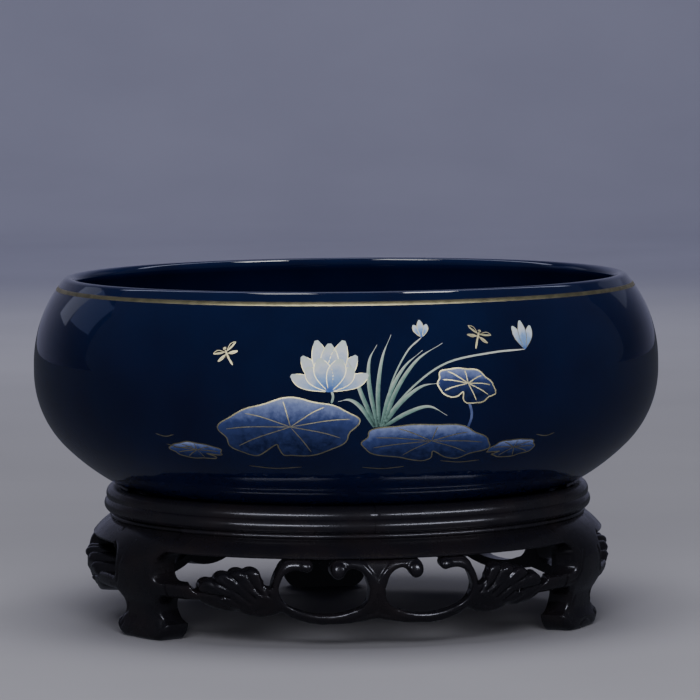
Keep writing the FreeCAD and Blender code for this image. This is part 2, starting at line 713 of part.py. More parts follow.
def spray_outline():
    """The leaf spray beside a ring: its lower edge, on into the leg, and back over its leaves."""
    outline = [
        ("LOOP_OUT - loop_side / 2", "SPRAY_LOW", "ring_foot_round"),
        ("LOOP_OUT + spray_bend", "SPRAY_LOW", "spray_round"),
        ("LOOP_OUT + spray_rise", "SPUR_LOW", "spray_round"),
        ("KNEE", "SPUR_LOW"),
        ("KNEE", "SPUR_HIGH"),
        (f"LOOP_OUT + leaf_first + ({LEAVES} - 0.5) * leaf_step", "SPUR_HIGH"),
    ]
    for leaf in reversed(range(LEAVES)):
        out = f"LOOP_OUT + leaf_first + {leaf} * leaf_step"
        high = f"SPUR_HIGH + leaf_high - leaf_fall * ({leaf} - {HIGHEST_LEAF})^2"
        outline.append((out, high, "-leaf_hollow_round" if leaf == LEAVES - 1 else "leaf_round"))
    return outline


def make_carvings():
    """Three openwork carvings: two rings with curled scrolls, and a leaf spray each side."""
    shell_low = shin_end("carving_recess")
    section = [
        ("CARVING_BACK", "0"),
        (shell_low[0], "0"),
        shell_low,
        ("KNEE - carving_recess", "KNEE_HIGH", "shin_round - carving_recess"),
        knee_top("carving_recess"),
        (on_slope("FRIEZE_LOW", "carving_recess"), "FRIEZE_LOW", "SLOPE_ROUND - carving_recess"),
        ("CARVING_BACK", "FRIEZE_LOW"),
    ]
    half = [
        ("0", "FRIEZE_LOW - web_drop"),
        ("loop_middle", "LOOP_LOW - loop_band", "ring_low_round"),
        *spray_outline(),
        ("LOOP_OUT + leaf_first - loop_side / 2", "SPUR_HIGH + leaf_high / 2", "-leaf_valley_round"),
        ("RING_SIDE", "LOOP_WIDE", "-leaf_foot_round"),
        # The outer scroll: up the ring, along under the frieze, round its tip and back
        ("LOOP_OUT", "FRIEZE_LOW - loop_band", "scroll_back_round"),
        ("LOOP_OUT - loop_band", "FRIEZE_LOW", "scroll_top_round"),
        ("tip_middle", "FRIEZE_LOW"),
        ("tip_middle - tip_round", "TIP_HIGH", "tip_round"),
        ("tip_middle", "TIP_HIGH - tip_round", "tip_round"),
        ("tip_middle + 2 * tip_round", "TIP_HIGH - 0.75 * tip_round", "-scroll_under_round"),
        # Round the inside of the ring, down and back to the web
        ("LOOP_OUT - loop_lean", "LOOP_WIDE + loop_bend", "-loop_top_round"),
        ("LOOP_OUT", "LOOP_WIDE", "-loop_high_round"),
        ("LOOP_OUT - loop_lean", "LOOP_WIDE - loop_bend", "-loop_side_round"),
        ("loop_middle + loop_floor_out", "LOOP_LOW + loop_floor_rise", "-loop_low_round"),
        ("loop_middle", "LOOP_LOW", "-loop_floor_round"),
        ("loop_middle - loop_floor_in", "LOOP_LOW + loop_floor_rise", "-loop_floor_round"),
        ("web_half + web_flare", "LOOP_WIDE - loop_band", "-loop_web_round"),
        ("web_half", "LOOP_WIDE"),
        # The inner scroll: the arch, the bulb and up to the frieze
        ("web_half + 2 * web_flare", "ARCH_HIGH - loop_bend"),
        ("arch_middle", "ARCH_HIGH", "-arch_round"),
        ("bulb_middle - 0.75 * bulb_round", "BULB_HIGH - bulb_round / 3", "-bulb_neck_round"),
        ("bulb_middle", "BULB_HIGH - bulb_round", "bulb_round"),
        ("bulb_middle + bulb_round", "BULB_HIGH", "bulb_round"),
        ("bulb_middle + bulb_round / 4", "FRIEZE_LOW", "bulb_top_round"),
        ("0", "FRIEZE_LOW"),
    ]
    for side, azimuth in APRONS:
        name = "carving_" + side
        blank = revolve(name + "_blank", section, APRON_TURN)
        fret(blank, name + "_sawn", half)
        tools = between_legs(name + "_end", "spur_half") + scroll_pins(name + "_pin_hole", "fit")
        tools += at_both_legs(name + "_peg_hole", spur_pegs)
        node(turned_to(cut_from(blank, name, tools), azimuth), name)


def make_joinery():
    """The dowels, pegs and pins of the whole stand, each kind as one group of solids."""
    for label, make, places in (
        ("frieze_dowels", leg_dowels, LEGS),
        ("spur_pegs", spur_pegs, LEGS),
        ("scroll_pins", scroll_pins, APRONS),
    ):
        sets = []
        for side, azimuth in places:
            name = f"{label}_{side}"
            sets.append(turned_to(group(name, make(name + "_rod", "0")), azimuth))
        node(group(label, sets), label)


make_bowl()
make_frame()
make_panel()
make_legs()
make_friezes()
make_carvings()
make_joinery()
doc.recompute()

for item in doc.Objects:
    if "Invalid" in item.State or "Error" in item.State:
        raise RuntimeError(f"{item.Label} failed")
for item in nodes:
    if item.Shape.isNull() or not item.Shape.isValid() or not item.Shape.Solids:
        raise RuntimeError(f"{item.Label} has no valid solid")

os.makedirs("parts", exist_ok=True)
for item in nodes:
    item.Shape.exportStep(f"parts/{item.Label}.step")
    print(f"{item.Label:24} {len(item.Shape.Solids)} solids {item.Shape.Volume:10.0f} mm3")
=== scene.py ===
"""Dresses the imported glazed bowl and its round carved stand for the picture."""

import json
import math

import bpy
import numpy as np
from mathutils import Matrix, Vector

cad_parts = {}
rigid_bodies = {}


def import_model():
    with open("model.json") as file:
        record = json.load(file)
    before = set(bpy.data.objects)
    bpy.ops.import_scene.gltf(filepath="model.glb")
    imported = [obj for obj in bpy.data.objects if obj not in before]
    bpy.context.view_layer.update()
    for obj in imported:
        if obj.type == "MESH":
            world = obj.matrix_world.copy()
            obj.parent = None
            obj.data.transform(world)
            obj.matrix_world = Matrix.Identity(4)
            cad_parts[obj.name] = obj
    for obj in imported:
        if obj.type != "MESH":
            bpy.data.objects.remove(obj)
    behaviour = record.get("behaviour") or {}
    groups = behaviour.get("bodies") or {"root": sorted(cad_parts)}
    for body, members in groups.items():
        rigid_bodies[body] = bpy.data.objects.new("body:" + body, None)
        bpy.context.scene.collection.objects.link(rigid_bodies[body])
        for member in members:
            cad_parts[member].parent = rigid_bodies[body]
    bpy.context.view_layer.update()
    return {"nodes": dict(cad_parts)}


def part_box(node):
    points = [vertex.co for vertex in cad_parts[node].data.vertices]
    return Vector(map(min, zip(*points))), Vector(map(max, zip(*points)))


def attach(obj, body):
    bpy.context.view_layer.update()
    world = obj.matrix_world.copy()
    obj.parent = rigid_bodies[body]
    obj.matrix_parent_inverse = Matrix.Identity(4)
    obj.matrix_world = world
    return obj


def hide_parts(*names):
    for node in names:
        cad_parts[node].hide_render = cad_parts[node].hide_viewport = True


bl_info = {
    "name": "Jardiniere on stand",
    "version": (1, 0, 0),
    "blender": (4, 5, 0),
    "location": "3D View > Sidebar > Jardiniere",
    "description": "Glazes, gilds, paints and lacquers a planter bowl on its carved stand",
    "category": "Object",
}

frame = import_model()

# Lengths are in millimetres, apart from properties and the softboxes, which are in metres.
MM = 0.001

# Edges sharper than this stay crisp under smooth shading
CRISP_EDGE = math.radians(50)
CRISP_TURNED_EDGE = math.radians(40)


def cad(node, corner, axis):
    """One number of a CAD node's box, in millimetres."""
    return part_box(node)[corner][axis] / MM


# The bowl's and the stand's main sizes, from the frame. The glaze lies a hair inside the
# solid's skin, so that the painting on it stays inside the same box.
PAINT_ROOM = 0.12
BOWL = cad("bowl", 1, 0) - PAINT_ROOM
SEAT = cad("bowl", 0, 2)
RAIL = cad("frieze_front", 1, 2)
FRIEZE_LOW = cad("frieze_front", 0, 2)
KNEE = cad("leg_back", 1, 1)
RIM = cad("ring_segment_back", 1, 1)
FRAME_LOW = cad("ring_segment_back", 0, 2)

# Degrees round from the front, positive to the right
LEGS = {"left": -60, "right": 60, "back": 180}
APRONS = {"front": 0, "right_rear": 120, "left_rear": -120}


def linear(code):
    """Linear red, green, blue of an sRGB hex colour."""
    parts = [int(code[i : i + 2], 16) / 255 for i in (1, 3, 5)]
    return tuple(p / 12.92 if p <= 0.04045 else ((p + 0.055) / 1.055) ** 2.4 for p in parts)


def length(name, note, default):
    """A length property whose default is given in millimetres."""
    default *= MM
    return bpy.props.FloatProperty(name=name, description=note, default=default, unit="LENGTH", precision=5)


def colour(name, note, code):
    """A colour property whose default is an sRGB hex colour."""
    return bpy.props.FloatVectorProperty(
        name=name, description=note, default=linear(code), subtype="COLOR", size=3, min=0, max=1
    )


class BowlSettings(bpy.types.PropertyGroup):
    """The bowl's finish."""

    wall: length("Wall", "Thickness of the bowl's wall", 9)
    gilt_height: length("Gilt line height", "Middle of the gilt line above the floor", 213.7)
    gilt_width: length("Gilt line width", "Width of the gilt line", 3)
    line_width: length("Drawn line width", "Width of the painting's gold lines", 0.8)
    glaze: colour("Glaze", "Body colour of the navy glaze", "#0B183C")
    glaze_deep: colour("Deep glaze", "Glaze where it lies thickest", "#08102E")
    gilt: colour("Gilt", "Fired gold of the line and of the drawing", "#D8D0AC")
    enamel_pale: colour("Pale enamel", "Lit upper edges of the painted leaves", "#8494C6")
    enamel: colour("Blue enamel", "Body of the painted leaves", "#38487F")
    pearl: colour("Pearl white", "Petals and reeds where they are whitest", "#E9F2FF")


class StandSettings(bpy.types.PropertyGroup):
    """The stand's finish."""

    relief: length("Relief", "How far the carved scrolls stand off their edges", 2.6)
    edge_round: length("Edge round", "How far the legs' carved edges fall back", 3)
    lacquer: colour("Lacquer", "Body colour of the black lacquer", "#131216")
    lacquer_worn: colour("Thin lacquer", "Lacquer where the brown wood shows through", "#1C1718")


# ---- Meshes ----


def outline(corners, step):
    """Points of an outline. A corner is (x, y) or (x, y, radius of the edge that leads to it).

    A positive radius turns counterclockwise. Arcs get a point every step degrees."""
    points = []
    for index, corner in enumerate(corners):
        end = Vector(corner[:2])
        if len(corner) > 2:
            radius = corner[2]
            start = Vector(corners[index - 1][:2])
            chord = end - start
            rise = max(radius * radius - chord.length_squared / 4, 0) ** 0.5
            left = Vector((-chord.y, chord.x)).normalized()
            centre = (start + end) / 2 + left * math.copysign(rise, radius)
            turn = math.copysign(2 * math.asin(min(chord.length / 2 / abs(radius), 1)), radius)
            count = max(2, math.ceil(abs(math.degrees(turn)) / step))
            for part in range(1, count):
                points.append(centre + Matrix.Rotation(turn * part / count, 2) @ (start - centre))
        points.append(end)
    return points


def smooth_path(points, per_span):
    """A smooth curve through a few given points."""
    points = [Vector(p) for p in points]
    ends = [2 * points[0] - points[1]] + points + [2 * points[-1] - points[-2]]
    path = []
    for a, b, c, d in zip(ends, ends[1:], ends[2:], ends[3:]):
        for part in range(per_span):
            t = part / per_span
            slow = (c - a) * t
            swift = (2 * a - 5 * b + 4 * c - d) * t**2
            swiftest = (3 * b - a - 3 * c + d) * t**3
            path.append((2 * b + slow + swift + swiftest) / 2)
    return path + [points[-1]]


def mesh_object(name, points, faces, material):
    """A smooth mesh in the scene, from points in millimetres."""
    mesh = bpy.data.meshes.new(name)
    mesh.from_pydata([Vector(p) * MM for p in points], [], faces)
    mesh.validate()
    mesh.polygons.foreach_set("use_smooth", [True] * len(mesh.polygons))
    mesh.materials.append(material)
    item = bpy.data.objects.new(name, mesh)
    bpy.context.scene.collection.objects.link(item)
    return item


def make_piece(name, points, faces, body, material):
    """A mesh piece that rides on a body."""
    piece = mesh_object(name, points, faces, material)
    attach(piece, body)
    return piece


def grid_faces(rows, columns, wrap=False, first=0):
    """Quads of a grid of points that is stored row by row, from a first point on."""
    faces = []
    for row in range(first, first + (rows - 1) * columns, columns):
        after = row + columns
        for column in range(columns if wrap else columns - 1):
            beside = (column + 1) % columns
            faces.append((row + column, row + beside, after + beside, after + column))
    return faces


def turned(radius, height, azimuth, across=0):
    """A point by its distances out, up and across, and degrees round from the front."""
    a = math.radians(azimuth)
    x = radius * math.sin(a) + across * math.cos(a)
    y = across * math.sin(a) - radius * math.cos(a)
    return Vector((x, y, height))


# ---- Materials ----


def plug(tree, node, inputs):
    """Sets a node's inputs. Each is a value, or the node or socket that it is linked to."""
    for name, value in inputs.items():
        if isinstance(value, bpy.types.Node):
            value = value.outputs[0]
        if isinstance(value, bpy.types.NodeSocket):
            tree.links.new(value, node.inputs[name])
        else:
            node.inputs[name].default_value = value


def add(tree, kind, inputs, stops=(), **settings):
    """Adds a shader node with its links. Stops are the places and colours of a colour ramp."""
    node = tree.nodes.new("ShaderNode" + kind)
    for name, value in settings.items():
        setattr(node, name, value)
    plug(tree, node, inputs)
    if stops:
        elements = node.color_ramp.elements
        while len(elements) < len(stops):
            elements.new(0.5)
        for element, (place, tone) in zip(elements, stops):
            element.position = place
            element.color = (*tone, 1)
    return node


def start_material(name):
    """A new material, its tree and the object's own coordinates."""
    material = bpy.data.materials.new(name)
    material.use_nodes = True
    tree = material.node_tree
    return material, tree, tree.nodes.new("ShaderNodeTexCoord").outputs["Object"]


def finished(material, looks):
    """The material, once its shader has its looks."""
    tree = material.node_tree
    plug(tree, tree.nodes["Principled BSDF"], looks)
    return material


def per_mm(size):
    """Scale of a pattern whose features are this many millimetres across."""
    return 1 / (size * MM)


def navy_glaze():
    """Stoneware under a thick cobalt-navy glaze, dipped and fired to a high gloss.

    The melt gives a mirror-smooth coat that is deep blue in the light and near black in shade,
    with a faint slow swell from the flow of the glaze."""
    settings = bpy.context.scene.jardiniere_bowl
    material, tree, place = start_material("cobalt_navy_glaze")
    pools = add(tree, "TexNoise", {"Vector": place, "Scale": per_mm(60), "Detail": 3.0})
    tone = add(tree, "ValToRGB", {"Fac": pools}, ((0.3, settings.glaze_deep), (0.7, settings.glaze)))
    swell = add(tree, "TexNoise", {"Vector": place, "Scale": per_mm(22), "Detail": 1.0})
    bump = add(tree, "Bump", {"Height": swell, "Strength": 0.06, "Distance": 0.5 * MM})
    looks = {"Base Color": tone, "Normal": bump, "Roughness": 0.05, "IOR": 1.5}
    return finished(material, {**looks, "Coat Weight": 0.4, "Coat Roughness": 0.03})


def gilt():
    """Liquid gold, brushed on the glaze and fired: a thin metal film with soft brush streaks."""
    gold = bpy.context.scene.jardiniere_bowl.gilt
    thick = [part * 0.72 for part in gold]
    material, tree, place = start_material("burnished_gold_lustre")
    streaks = add(tree, "TexNoise", {"Vector": place, "Scale": per_mm(6), "Detail": 4.0})
    tone = add(tree, "ValToRGB", {"Fac": streaks}, ((0.35, thick), (0.6, gold)))
    bump = add(tree, "Bump", {"Height": streaks, "Strength": 0.2, "Distance": 0.1 * MM})
    return finished(material, {"Base Color": tone, "Normal": bump, "Metallic": 1.0, "Roughness": 0.42})


def painted_enamel(name, stops, grain, roughness):
    """Overglaze enamel, brushed on the fired glaze in thin washes and fired again.

    It is a glassy colour that pools and thins with the brush, from deep blue into pale tips,
    and lies a little duller than the glaze round it. The share along a petal or leaf is its
    shade, and the washes are as wide as a brush."""
    material, tree, place = start_material(name)
    shade = add(tree, "Attribute", {}, attribute_name="shade").outputs["Fac"]
    wash = add(tree, "TexNoise", {"Vector": place, "Scale": per_mm(grain), "Detail": 6.0, "Roughness": 0.65})
    spread = {"From Min": 0.25, "From Max": 0.75, "To Min": -0.15, "To Max": 0.15}
    drift = add(tree, "MapRange", {"Value": wash, **spread})
    share = add(tree, "Math", {0: shade, 1: drift}, operation="ADD")
    tone = add(tree, "ValToRGB", {"Fac": share}, stops)
    bump = add(tree, "Bump", {"Height": wash, "Strength": 0.15, "Distance": 0.1 * MM})
    return finished(material, {"Base Color": tone, "Normal": bump, "Roughness": roughness, "IOR": 1.5})


def leaf_enamel():
    """Cobalt enamel of the floating leaves: pale along the lit edge, sunk into the glaze below."""
    settings = bpy.context.scene.jardiniere_bowl
    lit = linear("#A9B6DC")
    stops = ((0.0, settings.glaze), (0.45, settings.enamel), (0.8, settings.enamel_pale), (1.0, lit))
    return painted_enamel("cobalt_leaf_enamel", stops, 4, 0.3)


def pearl_enamel():
    """White enamel with a mother-of-pearl lustre: blue at the root, white and greenish at the tip."""
    pearl = bpy.context.scene.jardiniere_bowl.pearl
    stops = ((0.0, linear("#4F74C4")), (0.4, linear("#9CC0F2")), (0.7, pearl), (1.0, linear("#E4F4E6")))
    return painted_enamel("pearl_white_enamel", stops, 5, 0.22)


def reed_enamel():
    """Celadon-green enamel of the reeds, whitening towards their tips."""
    codes = ((0.0, "#2F4A48"), (0.35, "#7FA59A"), (0.7, "#C9DCCB"), (1.0, "#F3F1E4"))
    stops = [(place, linear(code)) for place, code in codes]
    return painted_enamel("celadon_reed_enamel", stops, 5, 0.28)


def lacquer():
    """Carved hardwood under rubbed black lacquer.

    Several thin coats, rubbed back, give a satin skin with a soft clear sheen, a trace of the
    wood's pores, and a little brown where the coats are thin."""
    settings = bpy.context.scene.jardiniere_stand
    material, tree, place = start_material("rubbed_black_lacquer")
    thin = add(tree, "TexNoise", {"Vector": place, "Scale": per_mm(35), "Detail": 5.0})
    tone = add(tree, "ValToRGB", {"Fac": thin}, ((0.45, settings.lacquer), (0.75, settings.lacquer_worn)))
    # Pores are 0.3 mm wide, drawn 1 mm wide so that they show at all
    along = add(tree, "Mapping", {"Vector": place, "Scale": (1.0, 0.12, 1.0)})
    grain = add(tree, "TexNoise", {"Vector": along, "Scale": per_mm(1), "Detail": 2.0})
    rub = add(tree, "TexNoise", {"Vector": place, "Scale": per_mm(12), "Detail": 3.0})
    satin = {"From Min": 0.3, "From Max": 0.7, "To Min": 0.2, "To Max": 0.32}
    gloss = add(tree, "MapRange", {"Value": rub, **satin})
    bump = add(tree, "Bump", {"Height": grain, "Strength": 0.1, "Distance": 0.1 * MM})
    looks = {"Base Color": tone, "Roughness": gloss, "Normal": bump, "IOR": 1.5}
    return finished(material, {**looks, "Coat Weight": 0.25, "Coat Roughness": 0.15})


def bare_wood():
    """Plain-sawn hardwood, left bare inside the joints: long brown grain, no sheen."""
    material, tree, place = start_material("bare_hardwood")
    along = add(tree, "Mapping", {"Vector": place, "Scale": (1.0, 0.1, 1.0)})
    grain = add(tree, "TexNoise", {"Vector": along, "Scale": per_mm(2), "Detail": 4.0})
    tone = add(tree, "ValToRGB", {"Fac": grain}, ((0.3, linear("#6B4429")), (0.7, linear("#9A6B43"))))
    return finished(material, {"Base Color": tone, "Roughness": 0.7})


def once(make):
    """The material that a function makes, made only the first time."""
    for material in bpy.data.materials:
        if material.get("maker") == make.__name__:
            return material
    material = make()
    material["maker"] = make.__name__
    return material


# ---- The bowl ----

BELLY_ROUND = 66.5
SHOULDER_ROUND = 84
SHOULDER_TURN = 39.8
UNDER_ROUND = 140
UNDER_TURN = 45
FOOT_OUT = BOWL - 92
FOOT_IN = FOOT_OUT - 11
FOOT_TOP = SEAT + 2
HOLLOW_TOP = SEAT + 2.5
FLOOR_TOP = HOLLOW_TOP + 9
BELLY_IN = BOWL - BELLY_ROUND
BELLY_UP = SEAT + 87.5
BAND = 5
SHOULDER_IN = BOWL - SHOULDER_ROUND
SHOULDER_UP = BELLY_UP + BAND
BOWL_PARTS = 288


def polar(centre, radius, turn):
    """A point on a circle, by degrees above level."""
    a = math.radians(turn)
    return (centre[0] + radius * math.cos(a), centre[1] + radius * math.sin(a))


def shoulder_point(inset, ahead=0):
    """Where the shoulder ends, at a depth inside the wall and a distance further on."""
    x, z = polar((SHOULDER_IN, SHOULDER_UP), SHOULDER_ROUND - inset, SHOULDER_TURN)
    a = math.radians(SHOULDER_TURN)
    return (x - ahead * math.sin(a), z + ahead * math.cos(a))


def bowl_section(wall):
    """The bowl's section in radius and height, from under its middle round to its floor."""
    belly = (BELLY_IN, BELLY_UP)
    belly_inside = polar(belly, BELLY_ROUND - wall, -UNDER_TURN)
    floor_round = (belly_inside[1] - FLOOR_TOP) / (1 - math.sin(math.radians(UNDER_TURN)))
    floor_start = belly_inside[0] - floor_round * math.cos(math.radians(UNDER_TURN))
    foot = [(0, HOLLOW_TOP), (FOOT_IN, HOLLOW_TOP), (FOOT_IN, SEAT), (FOOT_OUT, SEAT), (FOOT_OUT, FOOT_TOP)]
    outside = [
        (*polar(belly, BELLY_ROUND, -UNDER_TURN), UNDER_ROUND),
        (BOWL, BELLY_UP, BELLY_ROUND),
        (BOWL, SHOULDER_UP),
        (*shoulder_point(0), SHOULDER_ROUND),
    ]
    lip = [(*shoulder_point(wall / 2, wall / 2), wall / 2), (*shoulder_point(wall), wall / 2)]
    hollow = [
        (BOWL - wall, SHOULDER_UP, wall - SHOULDER_ROUND),
        (BOWL - wall, BELLY_UP),
        (*belly_inside, wall - BELLY_ROUND),
        (floor_start, FLOOR_TOP, -floor_round),
        (0, FLOOR_TOP),
    ]
    return outline(foot + outside + lip + hollow, 2)


def lathe(name, section, material):
    """A mesh of the bowl, turned all the way round from a section in radius and height."""
    points = []
    rows = []
    for radius, height in section:
        if radius < 1e-6:
            rows.append([len(points)] * BOWL_PARTS)
            points.append((0, 0, height))
            continue
        rows.append(range(len(points), len(points) + BOWL_PARTS))
        points += [turned(radius, height, 360 * part / BOWL_PARTS) for part in range(BOWL_PARTS)]
    faces = []
    for below, above in zip(rows, rows[1:]):
        for part in range(BOWL_PARTS):
            after = (part + 1) % BOWL_PARTS
            face = [below[part], below[after], above[after], above[part]]
            faces.append(tuple(dict.fromkeys(face)))
    return make_piece(name, points, faces, "bowl", material)


class JARDINIERE_OT_bowl(bpy.types.Operator):
    """Turns the bowl, glazes it and draws the gilt line round its shoulder"""

    bl_idname = "jardiniere.bowl"
    bl_label = "Bowl"

    def execute(self, context):
        settings = context.scene.jardiniere_bowl
        bowl = lathe("bowl_glazed", bowl_section(settings.wall / MM), once(navy_glaze))
        bowl.data.set_sharp_from_angle(angle=CRISP_EDGE)
        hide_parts("bowl")
        centre = (SHOULDER_IN, SHOULDER_UP)
        middle = math.degrees(math.asin((settings.gilt_height / MM - SHOULDER_UP) / SHOULDER_ROUND))
        half = math.degrees(settings.gilt_width / MM / 2 / SHOULDER_ROUND)
        # The film is 0.08 mm proud in its middle and dies away at its edges
        film = ((-1, -0.05), (-0.85, 0.05), (0, 0.08), (0.85, 0.05), (1, -0.05))
        section = [polar(centre, SHOULDER_ROUND + proud, middle + half * across) for across, proud in film]
        lathe("gilt_line", section, once(gilt))
        return {"FINISHED"}


# ---- The painting: a lotus pond ----

# The camera sees the painting's middle. Places on the bowl are millimetres along its
# widest circle to the right of there, and millimetres up its side from its widest height.
PAINTING_AZIMUTH = -6.3
ENAMEL_LIFT = 0.05
GOLD_LIFT = 0.1
PETAL_STEPS = 12
PAD_POINTS = 96
PAD_RINGS = 20
VEINS = 8
REED_WIDE = 2.6


def on_bowl(across, up, lift):
    """A place of the painting as a point on the glaze."""
    azimuth = PAINTING_AZIMUTH + math.degrees(across / BOWL)
    if up > BAND:
        turn = math.degrees((up - BAND) / SHOULDER_ROUND)
        radius, height = polar((SHOULDER_IN, SHOULDER_UP), SHOULDER_ROUND + lift, turn)
    elif up > 0:
        radius, height = BOWL + lift, BELLY_UP + up
    else:
        radius, height = polar((BELLY_IN, BELLY_UP), BELLY_ROUND + lift, math.degrees(up / BELLY_ROUND))
    return turned(radius, height, azimuth)


def swung(middle, x, y, degrees):
    """A place by its offset from a middle, turned by some degrees."""
    turn = math.radians(degrees)
    along = middle[0] + x * math.cos(turn) - y * math.sin(turn)
    return (along, middle[1] + x * math.sin(turn) + y * math.cos(turn))


class Painting:
    """Brush strokes gathered into one mesh, with a shade from dark to light at each point."""

    def __init__(self):
        self.points = []
        self.faces = []
        self.shades = []

    def lay(self, rows, lift, wrap=False):
        """Lays a grid of (across, up, shade) places, stored in rows."""
        self.faces += grid_faces(len(rows), len(rows[0]), wrap, len(self.points))
        for row in rows:
            for across, up, shade in row:
                self.points.append(on_bowl(across, up, lift))
                self.shades.append(shade)

    def stroke(self, path, half_at, lift, shades, bristles, lighter=0.0):
        """A brush stroke along a path, of half the width that half_at gives for the share along it.

        The bristles are places across it, from -1 to 1, and it is lighter towards its left side."""
        rows = []
        for index, here in enumerate(path):
            along = (path[min(index + 1, len(path) - 1)] - path[max(index - 1, 0)]).normalized()
            side = Vector((-along.y, along.x))
            share = index / (len(path) - 1)
            half = half_at(share)
            shade = shades[0] + (shades[1] - shades[0]) * share
            rows.append([(*(here + side * half * k), shade + lighter * k) for k in bristles])
        self.lay(rows, lift)

    def line(self, spine, width, lift=GOLD_LIFT, shades=(1, 1), ends=0.35):
        """A line through a few places, thinning towards its ends."""

        def half_at(share):
            return width / 2 * min(1, ends + 6 * share, ends + 6 * (1 - share))

        self.stroke(smooth_path([p[:2] for p in spine], 6), half_at, lift, shades, (-1, 0, 1))

    def blade(self, spine, lift):
        """A reed's leaf: widest a third of the way up, drawn out to a point."""

        def half_at(share):
            return REED_WIDE / 2 * max(0.06, math.sin(math.pi * min(share + 0.12, 1) ** 0.75)) ** 0.8

        self.stroke(smooth_path(spine, 8), half_at, lift, (0.15, 0.95), (-1, -0.4, 0.4, 1), 0.18)

    def petal(self, root, lean, size, half, bend, lift):
        """A lotus petal from its root: its lean in degrees from upright, its length and half width."""
        up = Vector((math.sin(math.radians(lean)), math.cos(math.radians(lean))))
        side = Vector((up.y, -up.x))
        rows = []
        for step in range(PETAL_STEPS + 1):
            share = step / PETAL_STEPS
            swell = math.sin(math.pi * min(share * 0.94 + 0.03, 1) ** 1.25) ** 0.75
            middle = Vector(root) + up * size * share + side * bend * math.sin(math.pi * share / 2) ** 2
            row = []
            for column in range(3, -4, -1):
                place = middle + side * half * swell * column / 3
                row.append((place.x, place.y, share * 0.95 + 0.1 * abs(column) / 3 - 0.05))
            rows.append(row)
        self.lay(rows, lift)
        return [row[-1] for row in rows], [row[0] for row in rows]

    def pad(self, middle, wide, high, tilt, notch, seed, lift):
        """A floating lotus leaf, notched and wavy, and the places of its hub and edge."""
        edge = []
        for step in range(PAD_POINTS):
            t = 2 * math.pi * step / PAD_POINTS
            wave = 1 + 0.045 * math.sin(5 * t + seed) + 0.03 * math.sin(9 * t + 2 * seed)
            gap = math.degrees(abs((t - math.radians(notch) + math.pi) % (2 * math.pi) - math.pi))
            wave *= 1 - 0.55 * math.exp(-((gap / 7) ** 2))
            edge.append(swung(middle, wide * wave * math.cos(t), high * wave * math.sin(t), tilt))
        hub = (middle[0] + 0.06 * wide, middle[1] + 0.12 * high)
        rows = []
        for ring in range(PAD_RINGS + 1):
            share = 1 - ring / PAD_RINGS * 0.985
            row = []
            for x, y in edge:
                place = (hub[0] + (x - hub[0]) * share, hub[1] + (y - hub[1]) * share)
                light = min(max(0.5 + 0.5 * (place[1] - middle[1]) / high, 0), 1)
                row.append((*place, 0.9 * light**1.6 + 0.1 * share**8))
            rows.append(row)
        self.lay(rows, lift, wrap=True)
        return hub, edge

    def piece(self, name, material):
        """The strokes as one mesh on the bowl, all facing outwards."""
        faces = []
        for face in self.faces:
            a, b, c = (self.points[index] for index in face[:3])
            normal = (b - a).cross(c - b)
            outwards = normal.x * a.x + normal.y * a.y
            faces.append(face if outwards > 0 else face[::-1])
        piece = make_piece(name, self.points, faces, "bowl", material)
        shade = piece.data.attributes.new("shade", "FLOAT", "POINT")
        shade.data.foreach_set("value", self.shades)
        return piece


# Floating leaves: middle, half width, half height, tilt, direction of the notch, waviness
PADS = (
    ((-37, -22), 43, 19, 5, 250, 0.4),
    ((51, -32), 42, 13, -3, 285, 2.1),
    ((112, -39), 18, 6.5, 3, 200, 4.0),
    ((-101, -38), 19, 6, -3, 330, 5.2),
)

# A leaf that stands above the water on its stem
RAISED_PAD = ((74, 4), 19, 10, -14, 262, 1.2)
FLOWER = (-10, 2)

# Petals of the open flower, from the back ones to the front ones: lean, length, half width, bend
PETALS = (
    (-34, 27, 4.6, -2),
    (33, 27, 4.6, 2),
    (-13, 32, 5.2, -1),
    (14, 32, 5.2, 1),
    (0, 29, 5.6, 0),
    (-58, 25, 4.4, -4),
    (57, 25, 4.4, 4),
    (-38, 20, 5.2, -2),
    (40, 20, 5.2, 2),
    (-15, 21, 5.4, -1),
    (17, 21, 5.4, 1),
)
BUD_PETALS = ((-20, 16, 2.9, -1), (22, 16, 2.9, 1), (0, 18, 2.9, 0))
SMALL_PETALS = ((-24, 9, 2, -1), (20, 9, 2, 1), (-2, 11, 2, 0))
FLOWER_STEM = ((-9, 3), (-8, -1), (-9, -5))
BUD = (116, 24)
BUD_STEM = ((20, -18), (40, 4), (62, 18), (92, 23), BUD)
SMALL_BUD = (47, 34)
SMALL_STEM = ((22, -18), (27, 6), (37, 25), SMALL_BUD)
REEDS = (
    ((18, -20), (10, -2), (4, 14), (-1, 24)),
    ((20, -20), (19, 2), (22, 22), (28, 36)),
    ((21, -20), (26, 0), (35, 16), (47, 26)),
    ((22, -20), (32, -6), (45, 4), (57, 6)),
    ((23, -20), (36, -12), (50, -8), (62, -14)),
    ((19, -20), (14, 4), (14, 20), (19, 30)),
    ((22, -20), (30, 2), (43, 20), (60, 30)),
    ((17, -20), (9, -8), (2, -3), (-5, -4)),
)
DRAGONFLIES = (((-74, 24), 28), ((84, 33), -24))
RIPPLES = (
    ((-66, -49), (-48, -51), (-30, -49.5)),
    ((10, -50), (24, -51.5), (38, -50)),
    ((62, -46), (76, -48), (90, -47)),
    ((-122, -34), (-112, -36), (-102, -34.5)),
    ((-128, -27), (-121, -28.5), (-114, -27)),
    ((128, -30), (136, -31.5), (143, -30)),
)


